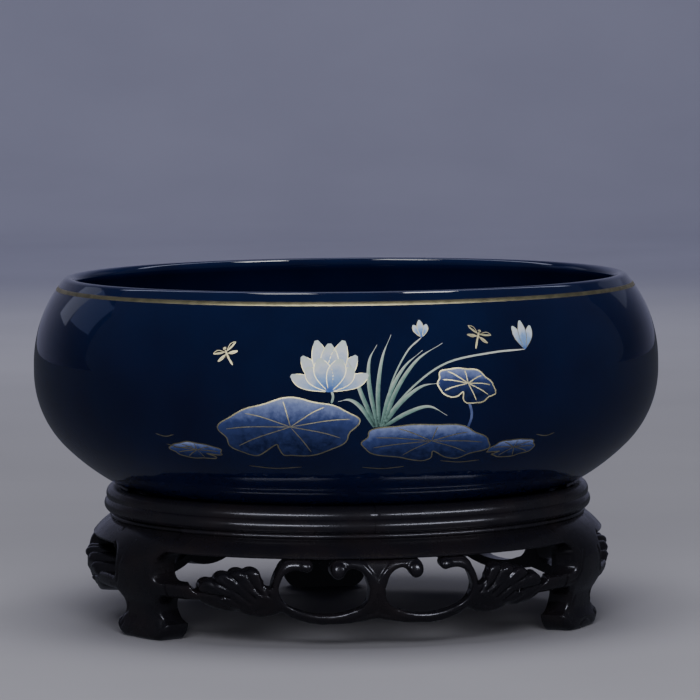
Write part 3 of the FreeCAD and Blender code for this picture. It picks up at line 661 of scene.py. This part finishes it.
class JARDINIERE_OT_painting(bpy.types.Operator):
    """Paints a generic lotus pond on the front of the bowl: leaves, reeds, a flower and two buds"""

    bl_idname = "jardiniere.painting"
    bl_label = "Painting"

    def execute(self, context):
        width = context.scene.jardiniere_bowl.line_width / MM
        gold = Painting()
        self.leaves(gold, width)
        self.reeds()
        self.flowers(gold, width)
        for middle, lean in DRAGONFLIES:
            self.dragonfly(gold, middle, lean, width)
        for ripple in RIPPLES:
            gold.line(ripple, width * 0.8)
        gold.piece("gold_drawing", once(gilt))
        return {"FINISHED"}

    def leaves(self, gold, width):
        """The floating leaves, the raised one on its stem, and their veins."""
        leaves = Painting()
        for index, (middle, wide, high, tilt, notch, seed) in enumerate((*PADS, RAISED_PAD)):
            hub, edge = leaves.pad(middle, wide, high, tilt, notch, seed, ENAMEL_LIFT + 0.002 * index)
            gold.line([*edge[::2], edge[0]], width, ends=1)
            start = round(notch / 360 * PAD_POINTS)
            for vein in range(1, VEINS + 1):
                tip = edge[(start + vein * PAD_POINTS // (VEINS + 1)) % PAD_POINTS]
                bend = (hub[0] * 0.45 + tip[0] * 0.55, hub[1] * 0.45 + tip[1] * 0.55 + 0.05 * high)
                end = (hub[0] * 0.12 + tip[0] * 0.88, hub[1] * 0.12 + tip[1] * 0.88)
                gold.line((hub, bend, end), width * 0.75)
        x, y = RAISED_PAD[0]
        leaves.line(((x + 1, y - 8), (x + 4, -16), (x - 2, -32)), 1.6, ENAMEL_LIFT - 0.005, (0.8, 0.3))
        leaves.piece("lotus_leaves", once(leaf_enamel))

    def reeds(self):
        """The reeds, and the stems of the flower and the buds."""
        reeds = Painting()
        for index, spine in enumerate(REEDS):
            reeds.blade(spine, ENAMEL_LIFT + 0.016 + 0.002 * index)
        reeds.line(BUD_STEM, 1.1, ENAMEL_LIFT + 0.014, (0.5, 1))
        reeds.line(SMALL_STEM, 0.9, ENAMEL_LIFT + 0.012, (0.3, 1))
        reeds.line(FLOWER_STEM, 1.4, ENAMEL_LIFT + 0.014, (0.9, 0.4))
        reeds.piece("reeds", once(reed_enamel))

    def flowers(self, gold, width):
        """The open flower and the buds, each petal edged with a thin gold line."""
        flowers = Painting()
        lift = ENAMEL_LIFT
        for root, petals in ((FLOWER, PETALS), (BUD, BUD_PETALS), (SMALL_BUD, SMALL_PETALS)):
            for petal in petals:
                for edge in flowers.petal(root, *petal, lift):
                    gold.line(edge[1::2], width * 0.55, lift + 0.006, ends=0.5)
                lift += 0.01
        flowers.piece("lotus_flowers", once(pearl_enamel))

    def dragonfly(self, gold, middle, lean, width):
        """A small gold dragonfly: a long body, a head and two pairs of wings."""

        def spot(x, y):
            return swung(middle, x, y, lean)

        gold.line((spot(0, 3.2), spot(0, -2), spot(0.6, -7.5)), width * 1.5)
        gold.line((spot(-0.9, 3.6), spot(0, 4.4), spot(0.9, 3.6)), width * 1.6)
        for side in (-1, 1):
            for start, reach, rise in ((1.8, 8, 2.6), (0.4, 7, -1.6)):
                root = spot(side * 0.5, start)
                upper = spot(side * reach * 0.55, start + rise * 0.8 + 1.1)
                tip = spot(side * reach, start + rise)
                lower = spot(side * reach * 0.55, start + rise * 0.6 - 0.8)
                gold.line((root, upper, tip, lower, root), width * 0.6)
                gold.line((root, tip), width * 0.9, ends=0.2)


# ---- The stand: rim, panel and friezes ----

REED_FOOT = (RIM - 4.5, RAIL)
REED_TOP = (RIM - 1.5, RAIL + 9.1)
REED_ROUND = 5.2
CREST_IN = RIM - 7.9
CREST_ROUND = 5.6
CREST_HIGH = cad("ring_segment_back", 1, 2)
FRAME_OUT = RIM - 13.4
FRAME_IN = FRAME_OUT - 20
SLOPE = 6

KNEE_UP = RAIL - 26.5
KNEE_ROUND = 19.2
KNEE_TURN = 32.5
SLOPE_ROUND = 41.4
SHIN_ROUND = 37.7
SHIN_TURN = 32.8
ANKLE_ROUND = 20
FOOT = KNEE - 4.7
FOOT_UP = 7
SOLE_ROUND = 3
GROOVE = RAIL - 3.1
GROOVE_IN = RIM - 4.2
LEG_HALF = 29.5
FRIEZE_EDGE = 1.6
HALF_SEGMENT = 60
GLUE_GAP = 0.1


def face_section():
    """The outer face of the legs in radius and height, from the sole up to the rim."""
    knee_end = polar((KNEE - KNEE_ROUND, KNEE_UP), KNEE_ROUND, KNEE_TURN)
    shin_end = polar((KNEE - SHIN_ROUND, KNEE_UP), SHIN_ROUND, -SHIN_TURN)
    corners = [
        (FOOT - SOLE_ROUND, 0),
        (FOOT, SOLE_ROUND, SOLE_ROUND),
        (FOOT, FOOT_UP),
        (*shin_end, -ANKLE_ROUND),
        (KNEE, KNEE_UP, SHIN_ROUND),
        (*knee_end, KNEE_ROUND),
        (RIM - 3.44, GROOVE, SLOPE_ROUND),
        (GROOVE_IN, GROOVE),
        (GROOVE_IN, RAIL, 1.7),
    ]
    return outline(corners, 4)


FACE = face_section()


def face_radius(heights):
    """Radius of the legs' outer face at each height."""
    return np.interp(heights, [p[1] for p in FACE], [p[0] for p in FACE])


def rim_section():
    """The round frame's section: its beaded rim, its seat and the groove for the panel's tongue."""
    groove_high = SEAT - 4.5
    groove_low = groove_high - 4
    groove_out = FRAME_IN + 6
    corners = [
        (FRAME_IN, FRAME_LOW),
        (FRAME_OUT, FRAME_LOW),
        (FRAME_OUT, RAIL),
        REED_FOOT,
        (*REED_TOP, REED_ROUND),
        (CREST_IN, CREST_HIGH - 0.05, CREST_ROUND),
        (CREST_IN - SLOPE, CREST_HIGH - SLOPE),
        (CREST_IN - SLOPE, SEAT),
        (FRAME_IN, SEAT),
        (FRAME_IN, groove_high),
        (groove_out, groove_high),
        (groove_out, groove_low),
        (FRAME_IN, groove_low),
    ]
    return outline(corners, 9)


def frieze_section():
    """A frieze's section, whose outer face runs on from the legs' faces."""
    edge_up = FRIEZE_LOW + FRIEZE_EDGE
    front = face_radius(edge_up)
    corners = [
        (FRAME_OUT + GLUE_GAP, RAIL),
        (FRAME_OUT + GLUE_GAP, FRIEZE_LOW + 4),
        (FRAME_OUT + 6.9, FRIEZE_LOW),
        (front - FRIEZE_EDGE, FRIEZE_LOW),
        (front, edge_up, FRIEZE_EDGE),
    ]
    return outline(corners, 15) + [p for p in FACE if p[1] >= edge_up]


def segment_reach(radius):
    """Degrees from a rim segment's middle to its end, which is the same at every radius."""
    return HALF_SEGMENT - 0.02


def frieze_reach(radius):
    """Degrees from a frieze's middle to the leg beside it."""
    return HALF_SEGMENT - math.degrees(math.asin(LEG_HALF / radius))


def stand_round(name, node, azimuths, shape, crisp_edge):
    """Lacquered pieces round the stand in place of its nodes. shape gives their points and faces."""
    for side, azimuth in azimuths.items():
        points, faces = shape(azimuth)
        piece = make_piece(name + side, points, faces, "stand", once(lacquer))
        piece.data.set_sharp_from_angle(angle=crisp_edge)
        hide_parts(node + side)


def arc(section, middle, reach, parts, chamfer=0.0):
    """Points and faces of a section turned part of the way round, centred on an azimuth.

    reach gives the degrees to each side at a radius. The ends are closed, and drawn in a
    little by the chamfer, so that a joint shows as a fine line."""
    centre = sum((Vector(p) for p in section), Vector((0, 0))) / len(section)
    rows = [(-1, chamfer)] + [(part / parts * 2 - 1, 0) for part in range(parts + 1)] + [(1, chamfer)]
    points = []
    for share, drawn in rows:
        for corner in section:
            place = Vector(corner)
            swing = reach(place.x) * share
            if drawn:
                place += (centre - place).normalized() * drawn
            elif abs(share) == 1:
                swing -= share * math.degrees(chamfer / place.x)
            points.append(turned(place.x, place.y, middle + swing))
    columns = len(section)
    faces = grid_faces(len(rows), columns, wrap=True)
    faces.append(tuple(range(columns))[::-1])
    faces.append(tuple(range(len(points) - columns, len(points))))
    return points, [face[::-1] for face in faces]


class JARDINIERE_OT_rim(bpy.types.Operator):
    """Turns the three segments of the beaded rim and the three friezes under it"""

    bl_idname = "jardiniere.rim"
    bl_label = "Rim and friezes"

    def execute(self, context):
        def segment(azimuth):
            return arc(rim_section(), azimuth, segment_reach, 96, chamfer=0.25)

        def frieze(azimuth):
            return arc(frieze_section(), azimuth, frieze_reach, 72)

        stand_round("rim_segment_", "ring_segment_", LEGS, segment, CRISP_TURNED_EDGE)
        stand_round("frieze_turned_", "frieze_", APRONS, frieze, CRISP_TURNED_EDGE)
        return {"FINISHED"}


class JARDINIERE_OT_joinery(bpy.types.Operator):
    """Finishes the panel, its batten and the joinery, which keep their own shapes"""

    bl_idname = "jardiniere.joinery"
    bl_label = "Panel and joinery"

    def execute(self, context):
        jointing = ("ring_spline", "frieze_dowels", "spur_pegs", "scroll_pins")
        finishes = ((lacquer, ("stand_panel", "panel_batten")), (bare_wood, jointing))
        for name, node in frame["nodes"].items():
            for make, names in finishes:
                if name.startswith(names):
                    node.data.materials.clear()
                    node.data.materials.append(once(make))
        return {"FINISHED"}


# ---- The stand: carved legs and scrolls ----

LEG_BACK = KNEE - 18.5
CALF_BACK = LEG_BACK - 3.5
SPUR_HALF = 31
SPUR_LOW = 28
SPUR_HIGH = 37
CARVED_STEP = 0.7


def inside(places, corners):
    """Which places lie inside a closed outline."""
    held = np.zeros(len(places), bool)
    for (x0, y0), (x1, y1) in zip(corners, np.roll(corners, -1, axis=0)):
        if y0 != y1:
            crosses = (y0 > places[:, 1]) != (y1 > places[:, 1])
            held ^= crosses & (places[:, 0] < x0 + (x1 - x0) * (places[:, 1] - y0) / (y1 - y0))
    return held


def nearest_on(places, line):
    """How far each place is from a line through corners, and the nearest point on that line."""
    far = np.full(len(places), np.inf)
    near = places.copy()
    for start, end in zip(line, line[1:]):
        run = end - start
        share = np.clip((places - start) @ run / max(run @ run, 1e-9), 0, 1)
        foot = start + share[:, None] * run
        gap = np.linalg.norm(places - foot, axis=1)
        closer = gap < far
        far[closer] = gap[closer]
        near[closer] = foot[closer]
    return far, near


class Blank:
    """A board sawn to a mirrored outline, as a fine grid of (across, up) places."""

    def __init__(self, half, rows):
        right = np.array([tuple(p) for p in half])
        whole = np.concatenate([right, right[::-1] * (-1, 1)])
        reach = math.ceil(right[:, 0].max() / CARVED_STEP)
        columns = np.arange(-reach, reach + 1) * CARVED_STEP
        across, up = np.meshgrid(columns, rows)
        places = np.stack([across.ravel(), up.ravel()], axis=1)
        held = inside(places, whole)
        rim = nearest_on(places, np.concatenate([whole, whole[:1]]))[1]
        places[~held] = rim[~held]
        grid = held.reshape(across.shape)
        kept = grid[:-1, :-1] | grid[1:, :-1] | grid[:-1, 1:] | grid[1:, 1:]
        corner = np.arange(across.size).reshape(across.shape)
        cells = np.stack([corner[:-1, :-1], corner[:-1, 1:], corner[1:, 1:], corner[1:, :-1]], axis=-1)[kept]
        used = np.unique(cells)
        renumber = np.zeros(across.size, int)
        renumber[used] = np.arange(len(used))
        self.places = places[used]
        self.cells = renumber[cells].tolist()
        self.folded = np.abs(self.places[:, 0])[:, None] * (1, 0) + self.places * (0, 1)

    def edges(self):
        """The directed edges round the blank, which belong to one cell only."""
        seen = {}
        for cell in self.cells:
            for start, end in zip(cell, cell[1:] + cell[:1]):
                if (end, start) in seen:
                    del seen[end, start]
                else:
                    seen[start, end] = True
        return list(seen)

    def carved(self, front, back, furthest=None):
        """What gives the points and faces between two radii for each place, at an azimuth."""
        count = len(self.places)
        faces = [tuple(cell) for cell in self.cells]
        faces += [tuple(index + count for index in cell[::-1]) for cell in self.cells]
        faces += [(end, start, start + count, end + count) for start, end in self.edges()]
        layers = []
        for radius in (front, back):
            across = self.places[:, 0]
            if furthest:
                most = furthest(radius)
                across = np.clip(across, -most, most)
            depth = np.sqrt(np.maximum(radius**2 - across**2, 0))
            layers += zip(depth, self.places[:, 1], across)
        return lambda azimuth: ([turned(out, up, azimuth, x) for out, up, x in layers], faces)


def fall_back(far, width, depth):
    """How far a rounded edge falls back, by the distance from it."""
    share = np.clip(far / width, 0, 1)
    return depth * (1 - np.sqrt(share * (2 - share)))


def ridge(places, line, width, high):
    """A soft ridge along a line, or a furrow where its height is negative."""
    return high * np.exp(-((nearest_on(places, np.array(line, float))[0] / width) ** 2))


def boss(places, middle, radius, high):
    """A round knob."""
    far = np.linalg.norm(places - np.array(middle, float), axis=1) / radius
    return high * np.sqrt(np.clip(1 - far**2, 0, 1))


# Half the outline of a leg, from its sole up to the rim
LEG_OUTLINE = (
    (0, 0),
    (19, 0),
    (27.5, 10.5, 11.5),
    (19, 18, -11.5),
    (25, SPUR_LOW, -11.5),
    (SPUR_HALF, SPUR_LOW),
    (SPUR_HALF, SPUR_HIGH),
    (26.5, SPUR_HIGH),
    (20.5, 43, -6),
    (20.5, FRIEZE_LOW - 9),
    (LEG_HALF, FRIEZE_LOW, -9),
    (LEG_HALF, RAIL),
    (0, RAIL),
)

# Radius of a leg's back by height
LEG_BACKS = (
    (CALF_BACK, 0),
    (CALF_BACK, 18),
    (LEG_BACK, 28),
    (LEG_BACK, FRAME_LOW - 4),
    (FRAME_OUT + GLUE_GAP, FRAME_LOW),
    (FRAME_OUT + GLUE_GAP, RAIL),
)

# Marks cut into each half of a leg, as (line, width, height)
LEG_MARKS = (
    (((12, 50), (15.2, 44), (16.4, 38), (20, 33.2), (26, 32.4), (31, 32.6)), 0.8, -0.7),
    (((12.5, 21), (15.5, 15.5), (21, 12.5), (23.4, 8.4), (20.6, 5.6), (17.8, 8)), 0.8, -0.8),
    (((0, 6), (5, 5.2), (10, 3)), 0.8, -0.5),
)


class JARDINIERE_OT_legs(bpy.types.Operator):
    """Carves the three legs with their rounded edges, spurs and feet"""

    bl_idname = "jardiniere.legs"
    bl_label = "Legs"

    def execute(self, context):
        depth = context.scene.jardiniere_stand.edge_round / MM
        half = outline(LEG_OUTLINE, 8)
        rows = np.concatenate([np.linspace(0, GROOVE - 0.01, 97), np.linspace(GROOVE + 0.01, RAIL, 6)])
        blank = Blank(half, rows)
        spots = blank.folded
        lower = np.array([tuple(p) for p in half if 0 < p.y <= SPUR_LOW])
        upper = np.array([tuple(p) for p in half if SPUR_HIGH <= p.y <= FRIEZE_LOW])
        far = np.minimum(nearest_on(spots, lower)[0], nearest_on(spots, upper)[0])
        front = face_radius(spots[:, 1]) - fall_back(far, depth * 1.4, depth)
        for line, width, high in LEG_MARKS:
            front += ridge(spots, line, width, high)
        back = np.interp(spots[:, 1], [p[1] for p in LEG_BACKS], [p[0] for p in LEG_BACKS])
        stand_round("leg_carved_", "leg_", LEGS, blank.carved(front, back), CRISP_EDGE)
        return {"FINISHED"}


CARVING_BACK = KNEE - 17.5
RING = 33
RING_OUT = RING + 26.5
RING_LOW = FRIEZE_LOW - 34.5
RING_WIDE = FRIEZE_LOW - 18
BAND_WIDE = 6
BULB = (23.6, FRIEZE_LOW - 6.8)
BULB_ROUND = 5
TIP = (42.8, FRIEZE_LOW - 3.6)
TIP_ROUND = 3.9
ARCH = (15.4, FRIEZE_LOW - 5.2)
WEB = 4.8
BEYOND = 140
LEAF_VALLEYS = [(RING_OUT + 11 + 9 * leaf, SPUR_HIGH + 11 - 1.25 * (leaf - 0.6) ** 2) for leaf in range(5)]

# Half the outline of an openwork carving: a leaf spray, a ring and its two curled scrolls
CARVING_OUTLINE = (
    (0, FRIEZE_LOW - 37),
    (RING, RING_LOW - BAND_WIDE, 150),
    (RING_OUT - 2.1, FRIEZE_LOW - 33, 50),
    (RING_OUT + 24, FRIEZE_LOW - 33, 26),
    (RING_OUT + 46, SPUR_LOW, 26),
    (BEYOND, SPUR_LOW),
    (BEYOND, SPUR_HIGH),
    (LEAF_VALLEYS[-1][0] + 4.5, SPUR_HIGH),
    (*LEAF_VALLEYS[-1], -5),
    *((*valley, 6.3) for valley in reversed(LEAF_VALLEYS[:-1])),
    (RING_OUT + 8.9, SPUR_HIGH + 5.5, -10),
    (RING_OUT + 4.2, RING_WIDE, -4),
    (RING_OUT, FRIEZE_LOW - BAND_WIDE, 30),
    (RING_OUT - BAND_WIDE, FRIEZE_LOW, 9),
    (TIP[0], FRIEZE_LOW),
    (TIP[0] - TIP_ROUND, TIP[1], TIP_ROUND),
    (TIP[0], TIP[1] - TIP_ROUND, TIP_ROUND),
    (TIP[0] + 2 * TIP_ROUND, TIP[1] - 0.75 * TIP_ROUND, -20),
    (RING_OUT - 2.8, RING_WIDE + 8, -11),
    (RING_OUT, RING_WIDE, -22),
    (RING_OUT - 2.8, RING_WIDE - 8, -15),
    (RING + 15, RING_LOW + 3, -17),
    (RING, RING_LOW, -45),
    (RING - 19, RING_LOW + 3, -45),
    (WEB + 0.8, RING_WIDE - BAND_WIDE, -10),
    (WEB, RING_WIDE),
    (WEB + 1.6, ARCH[1] - 8),
    (*ARCH, -10),
    (BULB[0] - 0.75 * BULB_ROUND, BULB[1] - BULB_ROUND / 3, -7),
    (BULB[0], BULB[1] - BULB_ROUND, BULB_ROUND),
    (BULB[0] + BULB_ROUND, BULB[1], BULB_ROUND),
    (BULB[0] + BULB_ROUND / 4, FRIEZE_LOW, 7.5),
    (0, FRIEZE_LOW),
)

# The leaves' fingers are parted by furrows from the valleys down to the ring. The rest are the
# midribs, and the furrows along the spray and the ring. Each is (line, width, height).
ROOT = (RING_OUT + 4.5, 29)
CARVING_MARKS = (
    *(
        ((valley, ((valley[0] + ROOT[0]) / 2 + lean, (valley[1] + ROOT[1]) / 2), foot), 0.9, -1.3)
        for valley, lean, foot in zip(
            LEAF_VALLEYS,
            (1, 2, 3, 4, 3),
            ((65, 33.5), (69.5, 34), (73, 31), (76, 28.3), (80, 25.3)),
        )
    ),
    (((82.7, 40.1), (76.6, 36), (66.9, 31.9)), 1.1, 0.9),
    (((95.1, 43.2), (90.9, 39), (86, 35.6)), 1, 0.6),
    (((101.9, 38.9), (96.9, 36.3), (90, 32.6)), 1, 0.6),
    (((66, 25.5), (75, 22.6), (88, 24), (99, 29)), 0.9, -0.9),
    (((3, 22.5), (18, 17.6), (34, 17.4), (52, 21)), 0.7, -0.6),
    (((0, 34), (0, 24)), 0.8, -0.7),
)

# Knobs on the scrolls' curled ends, a leaf bud and a seed bead: (middle, radius, height)
BOSSES = (
    ((BULB[0] + 0.4, BULB[1] - 0.3), 4.6, 1.1),
    ((TIP[0] + 0.6, TIP[1] - 0.6), 3.4, 0.9),
    ((83.4, 45.6), 3, 1.3),
    ((93.2, 30.1), 1.9, 1.2),
)
CURL = [(BULB[0] + 5.4 * math.cos(t), BULB[1] + 5.4 * math.sin(t)) for t in np.linspace(1.7, 3.6, 9)]
ARM_TOP = ((0, 41), (3.4, 47.4), (8, 52.8), (13.5, FRIEZE_LOW + 2))


def carving_relief(spots, half, depth):
    """How far the front of a carving falls back from the leg's face at each place."""
    edge = np.array([tuple(p) for p in half])
    back = 0.9 + fall_back(nearest_on(spots, edge)[0], 3.4, depth)
    for line, width, high in CARVING_MARKS:
        back -= ridge(spots, line, width, high)
    # The ground above the two arms lies lower, so that the arms meet in a V
    ground = np.array((*ARM_TOP, (0, FRIEZE_LOW + 2)))
    low = inside(spots + (1e-6, 0), np.concatenate([ground, ground[-1:] * (-1, 1)]))
    back += low * 1.7 * np.clip(nearest_on(spots, np.array(ARM_TOP))[0] / 1.2, 0, 1)
    for middle, radius, high in BOSSES:
        back -= boss(spots, middle, radius, high)
    return back - ridge(spots, CURL, 0.7, -0.9)


def up_to_the_leg(radius):
    """How far across an apron reaches at a radius, before it meets the legs' spurs."""
    return radius * np.sin(math.radians(HALF_SEGMENT) - np.arcsin((SPUR_HALF + GLUE_GAP) / radius))


class JARDINIERE_OT_carvings(bpy.types.Operator):
    """Carves the three openwork aprons of rings, scrolls and leaves"""

    bl_idname = "jardiniere.carvings"
    bl_label = "Carvings"

    def execute(self, context):
        depth = context.scene.jardiniere_stand.relief / MM
        half = outline(CARVING_OUTLINE, 8)
        low = min(p.y for p in half)
        blank = Blank(half, np.linspace(low, FRIEZE_LOW, math.ceil((FRIEZE_LOW - low) / CARVED_STEP)))
        spots = blank.folded
        front = face_radius(spots[:, 1]) - carving_relief(spots, half, depth)
        carving = blank.carved(front, np.full(len(spots), CARVING_BACK), up_to_the_leg)
        stand_round("scrollwork_", "carving_", APRONS, carving, CRISP_EDGE)
        return {"FINISHED"}


# ---- The stage ----

CAMERA_AWAY = 3000
CAMERA_HIGH = 405.9
CAMERA_AZIMUTH = PAINTING_AZIMUTH
CAMERA_DOWN = 4.47
CAMERA_ROLL = -0.54
CAMERA_PAN = 0.05
FOCAL_PIXELS = 4692.1
PICTURE_PIXELS = 700
SENSOR = 36

# Half the sheets' width, where the floor sweeps up into the backdrop, and the backdrop's top
SHEET_HALF = 12000
SWEEP_START = 4400
SWEEP_ROUND = 1600
BACKDROP_TOP = 7000


def aim_camera(scene):
    """The photograph's viewing angle."""
    pan, down, roll = (math.radians(v) for v in (CAMERA_PAN, CAMERA_DOWN, CAMERA_ROLL))
    right = Vector((math.cos(pan), -math.sin(pan), 0))
    ahead = Vector((math.sin(pan), math.cos(pan), 0))
    high = Vector((0, 0, 1))
    forward = ahead * math.cos(down) - high * math.sin(down)
    up = ahead * math.sin(down) + high * math.cos(down)
    side = right * math.cos(roll) + up * math.sin(roll)
    top = up * math.cos(roll) - right * math.sin(roll)
    turn = Matrix.Rotation(math.radians(CAMERA_AZIMUTH), 3, "Z")
    axes = Matrix((turn @ side, turn @ top, turn @ -forward)).transposed()
    data = bpy.data.cameras.new("camera")
    data.sensor_width = SENSOR
    data.lens = FOCAL_PIXELS / PICTURE_PIXELS * SENSOR
    camera = bpy.data.objects.new("camera", data)
    scene.collection.objects.link(camera)
    place = Matrix.Translation(turned(CAMERA_AWAY, CAMERA_HIGH, CAMERA_AZIMUTH) * MM)
    camera.matrix_world = place @ axes.to_4x4()
    scene.camera = camera


def paper():
    """Matt pale studio paper: an even, soft, slightly cool ground with a faint mottle."""
    material, tree, place = start_material("matt_pale_paper")
    fibres = add(tree, "TexNoise", {"Vector": place, "Scale": per_mm(300), "Detail": 4.0})
    tone = add(tree, "ValToRGB", {"Fac": fibres}, ((0.3, linear("#B4B3BD")), (0.7, linear("#BAB9C3"))))
    return finished(material, {"Base Color": tone, "Roughness": 0.9})


def stage_sheet(name, section):
    """A wide sheet of paper under or behind the bowl, by its section in depth and height."""
    points = [(across, y, z) for across in (-SHEET_HALF, SHEET_HALF) for y, z in section]
    sheet = mesh_object(name, points, grid_faces(2, len(section)), once(paper))
    return sheet


def softbox(name, place, size, power, tint="#FFFFFF", towards=(0, 0, 0.15), glossy=True, only=None):
    """A soft panel light. Its place is degrees round, metres away and metres high.

    It faces a point, or straight down where that is None. Where only is given, it lights just the
    pieces whose names start with one of its words."""
    data = bpy.data.lights.new(name, "AREA")
    data.shape = "RECTANGLE"
    data.size, data.size_y = size
    data.energy = power
    data.color = linear(tint)
    light = bpy.data.objects.new(name, data)
    bpy.context.scene.collection.objects.link(light)
    azimuth, away, high = place
    light.location = turned(away, high, azimuth)
    if towards:
        light.rotation_mode = "QUATERNION"
        light.rotation_quaternion = (Vector(towards) - light.location).to_track_quat("-Z", "Y")
    light.visible_glossy = glossy
    light.visible_camera = False
    if only:
        lit = bpy.data.collections.new("lit_by_" + name)
        for piece in bpy.data.objects:
            if piece.type == "MESH" and piece.name.startswith(only):
                lit.objects.link(piece)
        light.light_linking.receiver_collection = lit


class JARDINIERE_OT_stage(bpy.types.Operator):
    """Sets the camera, the pale floor and backdrop, and the softboxes"""

    bl_idname = "jardiniere.stage"
    bl_label = "Stage"

    def execute(self, context):
        scene = context.scene
        aim_camera(scene)
        # The glaze mirrors the backdrop but not the floor, so that its underside stays dark
        floor = stage_sheet("floor", ((-SHEET_HALF, 0), (SWEEP_START, 0)))
        floor.visible_glossy = False
        wall = SWEEP_START + SWEEP_ROUND
        sweep = ((SWEEP_START, 0), (wall, SWEEP_ROUND, SWEEP_ROUND), (wall, BACKDROP_TOP))
        stage_sheet("backdrop", outline(sweep, 3))
        world = bpy.data.worlds.new("studio")
        world.use_nodes = True
        daylight = {"Color": (*linear("#A8ACC0"), 1), "Strength": 0.12}
        plug(world.node_tree, world.node_tree.nodes["Background"], daylight)
        scene.world = world
        self.light_the_bowl()
        # Broad fills light the pieces without showing in the glaze
        softbox("front_fill", (-6, 2.4, 1.1), (1.6, 1.0), 32, glossy=False)
        softbox("overhead_fill", (0, 0.3, 2.2), (1.4, 1.4), 20, glossy=False)
        softbox("wall_light", (173.7, 3, 3), (6, 0.6), 56, "#DCDFFF", towards=(0, 6, 0.6), glossy=False)
        softbox("back_fill", (176, 2.6, 1.6), (1.6, 1.0), 12, glossy=False)
        # A wide panel in front for the gold alone, which would be dark without it
        softbox("gold_panel", (-6, 1.6, 0.5), (3.0, 1.6), 54, "#FFFEF4", only=("gilt_line", "gold_drawing"))
        self.light_the_stand()
        return {"FINISHED"}

    def light_the_bowl(self):
        """The lights whose reflections show in the glaze."""
        bowl = ("bowl_glazed",)
        cool = "#DDE3FF"
        # Two boxes overhead, a little behind, draw the strips on the far lip
        softbox("strip_right", (114, 0.556, 1.9), (0.32, 0.4), 6, towards=None, only=bowl)
        softbox("strip_left", (-127, 0.41, 1.9), (0.35, 0.4), 3.6, towards=None, only=bowl)
        # A long panel behind and above draws the fine line round the near lip
        softbox("lip_line", (173.7, 1.2, 1.9), (3.8, 0.25), 7, cool, only=bowl)
        # Dim panels behind give the shoulder's faint patches, two on the left and one on the right
        softbox("side_left", (-139, 1.5, 0.74), (0.3, 0.5), 0.13, cool, only=bowl)
        softbox("side_left_soft", (-124, 1.5, 0.8), (0.5, 0.45), 0.14, "#AFC0FF", only=bowl)
        softbox("side_right", (136, 1.5, 0.72), (0.5, 0.35), 0.05, cool, only=bowl)

    def light_the_stand(self):
        """The small lights that bring out the turned and carved wood."""
        tint = "#E9ECFF"
        # Strips near the floor draw the lines on the beads and under the friezes
        rim = ("rim_segment", "frieze")
        for side, azimuth, wide, power in (("right", 34, 0.98, 5.4), ("left", -36, 0.9, 5)):
            softbox("low_" + side, (azimuth, 1.2, 0.1), (wide, 0.12), power, tint, (0, 0, 0.08), only=rim)
        # Two boxes under the bowl's overhang pick out the scrolls and leaves
        carved = ("scrollwork", "leg_carved")
        for side, azimuth in (("right", 34), ("left", -30)):
            softbox("scroll_" + side, (azimuth, 1.1, 1), (0.3, 0.35), 5, tint, (0, 0, 0.05), only=carved)


# ---- The add-on ----

PIECES = (
    JARDINIERE_OT_bowl,
    JARDINIERE_OT_painting,
    JARDINIERE_OT_rim,
    JARDINIERE_OT_legs,
    JARDINIERE_OT_carvings,
    JARDINIERE_OT_joinery,
    JARDINIERE_OT_stage,
)


class JARDINIERE_PT_pieces(bpy.types.Panel):
    """Lists the pieces and their settings"""

    bl_idname = "JARDINIERE_PT_pieces"
    bl_label = "Jardiniere on stand"
    bl_space_type = "VIEW_3D"
    bl_region_type = "UI"
    bl_category = "Jardiniere"

    def draw(self, context):
        for settings in (context.scene.jardiniere_bowl, context.scene.jardiniere_stand):
            box = self.layout.box()
            for name in settings.__annotations__:
                box.prop(settings, name)
        for piece in PIECES:
            self.layout.operator(piece.bl_idname)


CLASSES = (BowlSettings, StandSettings, *PIECES, JARDINIERE_PT_pieces)


def register():
    for item in CLASSES:
        bpy.utils.register_class(item)
    bpy.types.Scene.jardiniere_bowl = bpy.props.PointerProperty(type=BowlSettings)
    bpy.types.Scene.jardiniere_stand = bpy.props.PointerProperty(type=StandSettings)


def unregister():
    del bpy.types.Scene.jardiniere_stand
    del bpy.types.Scene.jardiniere_bowl
    for item in reversed(CLASSES):
        bpy.utils.unregister_class(item)


def main():
    register()
    for piece in PIECES:
        group, name = piece.bl_idname.split(".")
        getattr(getattr(bpy.ops, group), name)()


if __name__ == "__main__":
    main()
